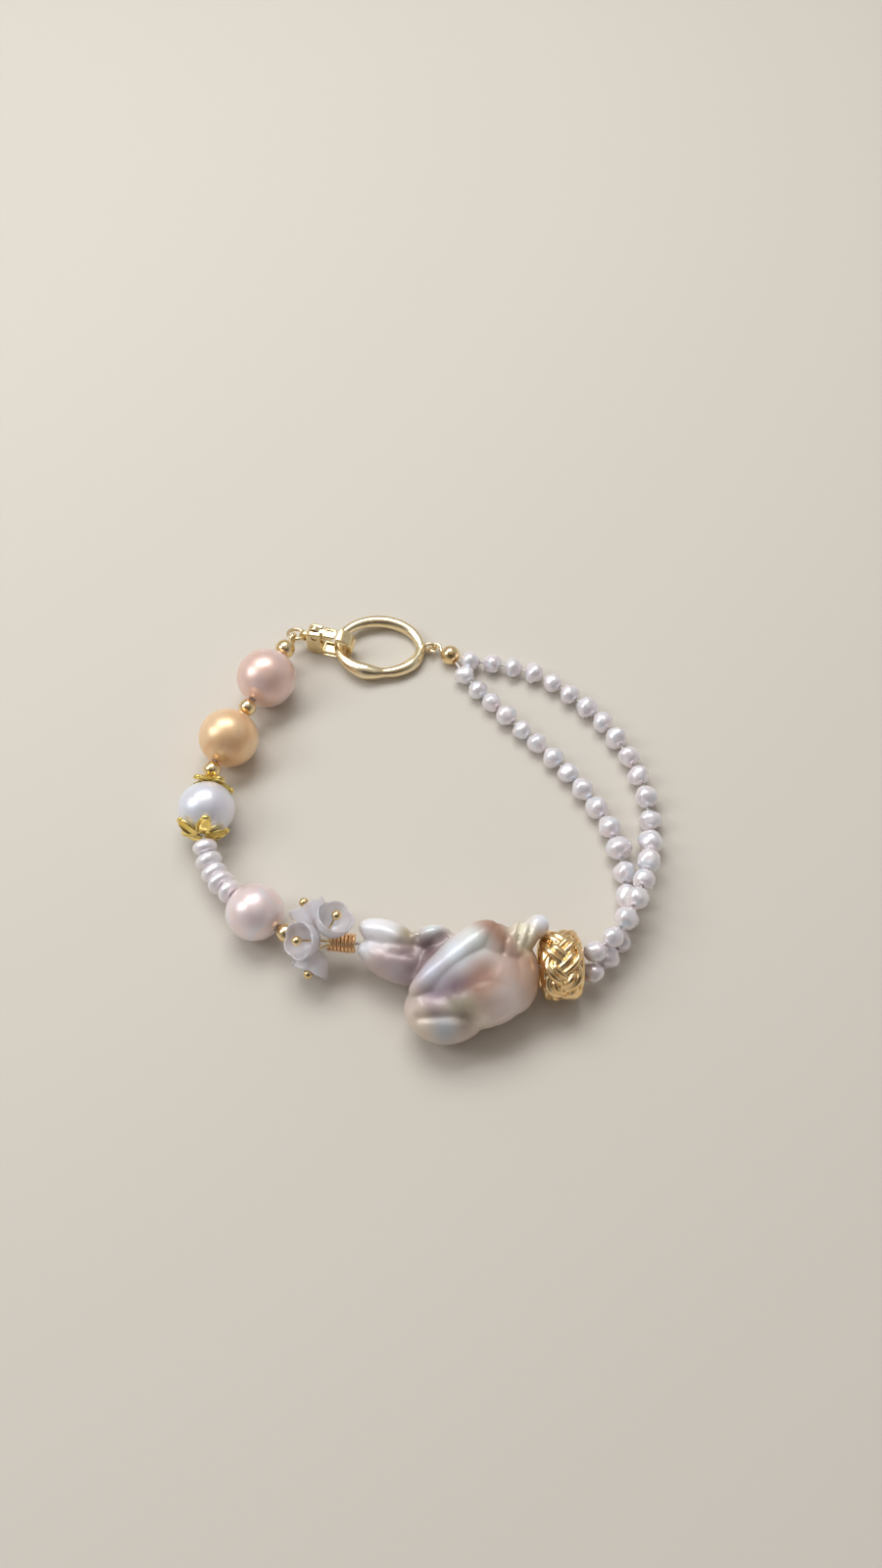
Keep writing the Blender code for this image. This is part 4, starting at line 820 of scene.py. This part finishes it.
def build_baroque_look():
    """Nacre in the grown tints with their painted highlights and painted shade, faint overtones over them,
    under a thin soft coat.
    """
    made = nacre("baroque_nacre", (0.72, 0.60, 0.59), (0.72, 0.62, 0.66), (0.64, 0.70, 0.64), 3.2, share=0.10,
                 swell=0.02, gloss=(0.30, 0.34))
    tree = made.node_tree
    surface = next(n for n in tree.nodes if n.type == "GROUP")
    # the vertex colours carry the tints together with the painted highlights and painted shade
    tint_and_painted_light = socket_node(tree, "ShaderNodeVertexColor", {}, layer_name="nacre_tint_and_painted_light")
    tree.links.new(tint_and_painted_light.outputs["Color"], surface.inputs["Body"])
    set_shader(made, {"Metallic": 0.10, "Coat Weight": 0.12, "Coat Roughness": 0.16, "Sheen Weight": 0.0})
    return made


set_in(build_baroque_pearl(), build_baroque_look(), "baroque_nacre", "baroque_pearl")


# Orange-gold wire wound in a tight coil round the thread and the flowers' pin wires. It covers the joint
# between the baroque pearl and the flower cluster.
COIL_PLACE = aimed(Vector((-9.973, -20.541, 4.0)) * MM, (-0.9929, 0.1193, 0.0))
COIL_RADIUS = 1.11
COIL_WIRE = 0.22
COIL_TURNS = 7.0
COIL_LENGTH = 3.8
COIL_TURN_STEPS = 32
COIL_GOLD = plated("orange_gold", (0.97, 0.68, 0.40), (0.90, 0.55, 0.27), roughness=(0.20, 0.30),
                   swell_size=0.6)

steps = int(COIL_TURNS * COIL_TURN_STEPS)
points = []
for i in range(steps + 1):
    angle = math.tau * COIL_TURNS * i / steps
    along = (COIL_LENGTH - 2 * COIL_WIRE) * (i / steps - 0.5)
    points.append((along, COIL_RADIUS * math.cos(angle), COIL_RADIUS * math.sin(angle)))
coil = wire_piece("wound_coil", points, COIL_WIRE)
coil.data.transform(COIL_PLACE)
set_in(coil, COIL_GOLD, "orange_gold_wire", "wire_coil")


# Four bell flowers of translucent lilac-white shell, fanned round the string, with a thin bright lip. Each is
# held by a gold pin whose ball sits in its mouth like a stamen, and whose wire runs back into the coil.
# Rows: direction from the hub, distances in mm to the bell's throat and to the ball, and the wire's place.
FLOWER_HUB = aimed(Vector((-12.554, -20.231, 3.983)) * MM, (-0.9928, 0.1193, -0.0038))
FLOWERS = (
    ((0.56, -0.40, 0.73), 1.5, 4.8, 30),
    ((0.52, 0.72, 0.42), 1.6, 5.4, -75),
    ((-0.36, 0.28, 0.89), 2.2, 5.5, -20),
    ((0.26, -0.92, -0.28), 1.5, 4.7, 120),
)
BELL_MOUTH = 4.4
BELL_WALL = 0.24
BELL_STEPS = 60
PIN_BALL = 1.3
PIN_WIRE = 0.14
PIN_ROUTE_RADIUS = 0.56
PIN_COIL_START = Vector((-3.5, 0, 0))
PIN_COIL_END = Vector((-0.72, 0, 0))
# Rings of a bell: share of its length, share of its mouth's half width, and how much the five lobes show.
BELL_RINGS = (
    (0.0, 0.20, 0), (0.05, 0.36, 0), (0.14, 0.56, 0), (0.27, 0.74, 0.004), (0.42, 0.87, 0.014),
    (0.57, 0.94, 0.022), (0.71, 0.98, 0.030), (0.83, 1.00, 0.038), (0.92, 1.01, 0.044), (0.97, 1.01, 0.048),
)


def build_bell_look():
    """Milky translucent shell: faint lilac clouds, a glossy skin and light that comes through."""
    made = nacre("lilac_shell", (0.97, 0.95, 0.98), (0.96, 0.89, 0.92), (0.88, 0.91, 0.97), 2.5, share=0.7,
                 swell=0.2, gloss=(0.10, 0.20))
    set_shader(made, {"Metallic": 0.0, "Transmission Weight": 0.50, "IOR": 1.20, "Coat Weight": 1.0,
                      "Coat Roughness": 0.05, "Sheen Weight": 0.0})
    return made


BELL_LOOK = build_bell_look()
PIN_GOLD = plated("pin_gold", (0.92, 0.74, 0.42), (0.84, 0.62, 0.30), roughness=(0.08, 0.13))
for number, (direction, throat, ball, wire_place) in enumerate(FLOWERS, start=1):
    ahead, back, up = direction
    way = Vector((ahead, -back, up)).normalized()
    length = ball - 0.15 * PIN_BALL - throat
    rows = []
    for along, radius, lobe in BELL_RINGS:
        row = []
        for i in range(BELL_STEPS):
            angle = math.tau * (i + 0.5) / BELL_STEPS
            petal = 2 * abs(math.cos(2.5 * (angle + 0.63))) ** 0.8 - 1
            size = BELL_MOUTH / 2 * radius * (1 + lobe * petal)
            reach = throat + length * (along + lobe * petal)
            row.append((reach, size * math.cos(angle), size * math.sin(angle)))
        rows.append(row)
    bell = skinned_grid(f"bell_{number}", rows, FLOWER_HUB @ aimed(Vector(), way, up=(0.1, 0, 1)))
    applied(bell, "SOLIDIFY", thickness=BELL_WALL * MM, offset=1)
    applied(bell, "SUBSURF", levels=1, render_levels=1)
    set_in(bell, BELL_LOOK, "lilac_bell", f"flower_bell_{number}")
    turn = math.radians(wire_place)
    beside = Vector((0, math.sin(turn), math.cos(turn))) * PIN_ROUTE_RADIUS
    points = [PIN_COIL_START + beside, PIN_COIL_END + beside, way * throat * 0.8,
              way * (throat + 0.1 * length), way * (ball - 0.5 * PIN_BALL)]
    radii = [1] * len(points)
    for i in range(13):
        angle = math.pi * (0.10 + 0.89 * i / 12)
        points.append(way * (ball - 0.5 * PIN_BALL * math.cos(angle)))
        radii.append(max(0.03, 0.5 * PIN_BALL * math.sin(angle) / PIN_WIRE))
    pin = wire_piece(f"bell_pin_{number}", points, PIN_WIRE, radii, sides=24)
    pin.data.transform(FLOWER_HUB)
    set_in(pin, PIN_GOLD, "polished_gold", f"flower_pin_{number}")


# Oval clasp ring of pale gold wire, uneven as if melted, thicker at its lower left, with a small eye soldered
# to its right end. Its left end is lifted over the clasp's bar, and its right end lies on the board.
# Sections: degrees from the right end, share of the wire's thickest half width.
OVAL_SECTIONS = ((0, 0.66), (30, 0.80), (60, 0.92), (90, 0.93), (120, 0.84), (150, 0.72), (180, 0.66),
                 (205, 0.74), (232, 1.02), (250, 1.26), (264, 1.02), (277, 0.68), (292, 0.86), (320, 0.97),
                 (345, 0.78), (360, 0.66))
OVAL_LEFT = Vector((-12.576, 28.434, 1.817))
OVAL_RIGHT = Vector((-0.303, 28.470, 0.858))
OVAL_HALF_WIDTH = 4.75
OVAL_STEPS = 144
EYE_CENTRE = Vector((1.103, 28.364, 1.33))
EYE_AXIS = (0.119, 0.993, 0.0)
EYE_RADIUS = 0.85
EYE_WIRE = 0.30
RING_GOLD = plated("ring_gold", (0.93, 0.80, 0.54), (0.88, 0.70, 0.42), roughness=(0.20, 0.28),
                   swell_size=2.5, swell=0.35)


def ring_piece(name, centre, normal, radius, wire):
    """Closed wire ring in mm; normal is the ring's axis."""
    bpy.ops.mesh.primitive_torus_add(major_radius=radius * MM, minor_radius=wire * MM, major_segments=40,
                                     minor_segments=14, location=(0, 0, 0))
    made = named(name)
    bpy.ops.object.shade_smooth()
    made.data.transform(Matrix.Translation(Vector(centre) * MM) @ Vector(normal).to_track_quat("Z", "Y")
                        .to_matrix().to_4x4())
    return made


def build_oval_ring():
    along = OVAL_RIGHT - OVAL_LEFT
    plane = aimed((OVAL_LEFT + OVAL_RIGHT) / 2, along)
    half_length = along.length / 2
    degrees = [row[0] for row in OVAL_SECTIONS]
    shares = [row[1] for row in OVAL_SECTIONS]
    points = []
    radii = []
    for i in range(OVAL_STEPS):
        angle = math.tau * i / OVAL_STEPS
        share = float(np.interp(math.degrees(angle), degrees, shares))
        across = OVAL_HALF_WIDTH * (1 + 0.05 * (share - 0.9)) * math.sin(angle)
        points.append(plane @ Vector((half_length * math.cos(angle), across, 0)))
        radii.append(share)
    for _ in range(3):
        radii = [(radii[i - 1] + 2 * radii[i] + radii[i + 1 - OVAL_STEPS]) / 4 for i in range(OVAL_STEPS)]
    ring = wire_piece("oval_wire", points, 1.0, radii, closed=True, sides=20)
    eye = ring_piece("oval_eye", EYE_CENTRE, EYE_AXIS, EYE_RADIUS, EYE_WIRE)
    ring = joined("oval_ring_cast", [ring, eye])
    smoothed(ring, 0.085, 0.5, 4)
    return ring


set_in(build_oval_ring(), RING_GOLD, "polished_gold", "oval_ring")


# Wire loops that come out of the two end beads, each closed round its neighbour: the right one round the oval
# ring's eye, the left one round the jump ring. Their shanks run into the beads' holes.
LOOP_RADIUS = 0.75
LOOP_WIRE = 0.28
LOOP_START = math.radians(14)
LOOP_END = math.tau - math.asin(0.9)
END_BEAD_RADIUS = 1.45
SHANK_DEPTH = 0.9
# Middle of the loop, middle of its bead, and whether the loop stands upright.
END_LOOPS = {
    "end_loop_right": (Vector((2.01, 28.218, 1.33)), Vector((4.181, 26.876, 1.45)), False),
    "end_loop_left": (Vector((-19.353, 28.896, 2.775)), Vector((-20.254, 26.257, 3.808)), True),
}
for node, (centre, bead, upright) in END_LOOPS.items():
    towards = bead - centre
    place = aimed(centre, towards)
    if upright:
        place = place @ Matrix.Rotation(math.radians(90), 4, "X")
    reach = towards.length - END_BEAD_RADIUS + SHANK_DEPTH
    points = [place @ Vector((reach, 0, 0)), place @ Vector((LOOP_RADIUS + 1.2 * LOOP_WIRE, 0, 0))]
    for i in range(33):
        angle = LOOP_START + (LOOP_END - LOOP_START) * i / 32
        points.append(place @ Vector((LOOP_RADIUS * math.cos(angle), LOOP_RADIUS * math.sin(angle), 0)))
    loop = wire_piece(node + "_bent", points, LOOP_WIRE, sides=14)
    set_in(loop, RING_GOLD, "polished_gold", node)


# Jump ring of the same wire, closed round the left loop and the clasp's eye.
LINK_CENTRE = Vector((-18.937, 30.112, 2.3))
LINK_AXIS = (0.0887, 0.3363, 0.9376)
LINK_RADIUS = 1.28
link = ring_piece("jump_ring", LINK_CENTRE, LINK_AXIS, LINK_RADIUS, LOOP_WIRE)
set_in(link, RING_GOLD, "polished_gold", "clasp_link")


# Lobster clasp of pale gold, standing on its edge: a block with the eye, a bar and a round claw in one cast
# body with rounded edges, hooked over the oval ring's left end. A thin lever closes its mouth from above and
# turns on a pin in the block; its spring pushes it shut.
CLASP_PLACE = Matrix.Translation(Vector((-17.072, 29.62, 2.3)) * MM) @ aimed(Vector(), (0.9669, -0.2551, 0.0))
CLASP_HALF = 2.3
CLASP_INNER = 1.45
CLASP_THICKNESS = 2.2
CLASP_BLOCK = 2.2
CLAW = (4.8, 0.0)
CLASP_EYE = -0.55
MOUTH_ANGLE = math.radians(95)
PIVOT = (1.254, 1.3)
PIVOT_HOLE = 0.43
PIVOT_PIN = 0.35
SLOT_HALF = 0.52
SLOT_BACK = 0.84
CAST_EDGE = 0.38
RECESS_WALL = 0.3
RECESS_END = 0.1
LEVER_THICKNESS = 0.8
LEVER_DISC = 0.72
LEVER_DEPTH = 0.95
LEVER_EDGE = 0.10
BAR_WIDTH = 1.9
BAR_EDGE = 0.28
BAR_HOLLOW = 0.48
SMOOTH_ANGLE = math.radians(40)


def arc(centre, radius, first, last, steps):
    return [(centre[0] + radius * math.cos(first + (last - first) * i / steps),
             centre[1] + radius * math.sin(first + (last - first) * i / steps)) for i in range(steps + 1)]


def rounded(made, edge, segments):
    applied(made, "BEVEL", width=edge * MM, segments=segments, limit_method="ANGLE",
            angle_limit=math.radians(60))


def plate(name, outline, thickness, edge):
    """Flat shape in local X and Z, pulled to its thickness and rounded along its edges, in mm."""
    bpy.ops.mesh.primitive_circle_add(vertices=len(outline), radius=1, fill_type="NGON", location=(0, 0, 0))
    made = named(name)
    for corner, (u, w) in zip(made.data.vertices, outline):
        corner.co = Vector((u, -thickness / 2, w)) * MM
    bpy.ops.object.mode_set(mode="EDIT")
    bpy.ops.mesh.select_all(action="SELECT")
    bpy.ops.mesh.extrude_region_move(TRANSFORM_OT_translate={"value": (0, thickness * MM, 0)})
    bpy.ops.mesh.select_all(action="SELECT")
    bpy.ops.mesh.normals_make_consistent(inside=False)
    bpy.ops.object.mode_set(mode="OBJECT")
    rounded(made, edge, 4)
    return made


def cut(made, cutter, operation="DIFFERENCE"):
    applied(made, "BOOLEAN", operation=operation, object=cutter, solver="EXACT")
    bpy.data.objects.remove(cutter)


def in_clasp(made):
    """Smooths a finished clasp piece up to its edges and sets it in the clasp."""
    picked(made)
    bpy.ops.object.shade_smooth_by_angle(angle=SMOOTH_ANGLE)
    made.data.transform(CLASP_PLACE)


def block(low, high):
    size = Vector(high) - Vector(low)
    bpy.ops.mesh.primitive_cube_add(size=1, location=(0, 0, 0))
    made = bpy.context.object
    made.data.transform(Matrix.Translation((Vector(high) + Vector(low)) / 2 * MM)
                        @ Matrix.Diagonal((*(size * MM), 1)))
    return made


def rod(centre, radius, length):
    bpy.ops.mesh.primitive_cylinder_add(vertices=32, radius=radius * MM, depth=length * MM,
                                        location=(0, 0, 0))
    made = bpy.context.object
    made.data.transform(Matrix.Translation(Vector((centre[0], 0, centre[1])) * MM)
                        @ Matrix.Rotation(math.radians(90), 4, "X"))
    return made


corner = CLASP_HALF * 0.45
down = math.radians(-90)
outline = [(0, CLASP_HALF - corner * 0.6), (0, -CLASP_HALF + corner)]
outline += arc((corner, -CLASP_HALF + corner), corner, math.radians(180), math.radians(270), 10)[1:]
outline += arc(CLAW, CLASP_HALF, down, MOUTH_ANGLE, 36)
outline += arc(CLAW, CLASP_INNER, MOUTH_ANGLE, down, 28)
outline += [(CLASP_BLOCK, -CLASP_INNER), (CLASP_BLOCK, CLASP_HALF), (corner * 0.6, CLASP_HALF)]
body = plate("clasp_body_cast", outline, CLASP_THICKNESS, CAST_EDGE)
eye = spun("clasp_eye", [(0.28, 0.55), (-0.28, 0.55), (-0.35, 0.72), (-0.26, 0.90), (0, 0.95), (0.26, 0.90),
                         (0.35, 0.72)], Matrix(), 40)
eye.data.transform(Matrix.Translation((CLASP_EYE * MM, 0, 0)) @ Matrix.Rotation(math.radians(90), 4, "Z"))
cut(body, eye, operation="UNION")
cut(body, block((PIVOT[0] - SLOT_BACK, -SLOT_HALF, PIVOT[1] - SLOT_BACK),
                (CLASP_BLOCK * 1.4, SLOT_HALF, CLASP_HALF * 1.5)))
cut(body, rod(PIVOT, PIVOT_HOLE, CLASP_THICKNESS * 1.5))
side_wall = CLASP_THICKNESS / 2 - RECESS_WALL
cut(body, block((CLASP_BLOCK + 0.2, -CLASP_THICKNESS, -2.06), (CLAW[0] - RECESS_END, -side_wall, -1.62)))
cut(body, block((CLASP_BLOCK + 0.25, -side_wall, -CLASP_INNER - 0.4),
                (CLAW[0] - RECESS_END, side_wall, -CLASP_INNER + 0.4)))
in_clasp(body)
CLASP_GOLD = plated("clasp_gold", (0.93, 0.79, 0.50), (0.87, 0.68, 0.37), roughness=(0.17, 0.25),
                    swell_size=1.4)
set_in(body, CLASP_GOLD, "polished_gold", "clasp_body")

pin = rod(PIVOT, PIVOT_PIN, CLASP_THICKNESS - 0.24)
pin.name = "clasp_pin_riveted"
rounded(pin, 0.08, 3)
in_clasp(pin)
set_in(pin, CLASP_GOLD, "polished_gold", "clasp_pin")

tip = CLAW[0] + CLASP_HALF * math.cos(MOUTH_ANGLE) - 0.12
top = CLASP_HALF - 0.06
low = top - LEVER_DEPTH
outline = [(PIVOT[0] + u, PIVOT[1] + w) for u, w in arc((0, 0), LEVER_DISC, math.radians(205),
                                                        math.radians(330), 16)]
outline += [(CLASP_BLOCK, low), (tip - 0.5, low), (tip, top), (PIVOT[0] + 0.65, top),
            (PIVOT[0] + 0.40, top + 0.22), (PIVOT[0] + 0.18, top + 0.44), (PIVOT[0] - 0.1, top + 0.5),
            (PIVOT[0] - 0.40, top + 0.48), (PIVOT[0] - 0.62, top + 0.30), (PIVOT[0] - 0.71, top)]
lever = plate("clasp_lever_sprung", outline, LEVER_THICKNESS, LEVER_EDGE)
bar_start = CLASP_BLOCK + 0.28
bar = plate("lever_bar", [(bar_start, low), (tip - 0.5, low), (tip, top), (bar_start, top)],
            BAR_WIDTH, BAR_EDGE)
cut(lever, bar, operation="UNION")
cut(lever, block((CLASP_BLOCK + 0.65, -BAR_HOLLOW, top - 0.22), (tip - 0.45, BAR_HOLLOW, top + 1)))
cut(lever, rod(PIVOT, PIVOT_HOLE, LEVER_THICKNESS * 2))
in_clasp(lever)
set_in(lever, CLASP_GOLD, "polished_gold", "clasp_lever", body="lever")


# White thread that all the bored pieces hang on, from the left end bead to the woven slide. It shows only in
# the narrow gaps between beads.
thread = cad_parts["thread"]
thread.data.materials.clear()
thread.data.materials.append(THREAD_LOOK)

low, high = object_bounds()
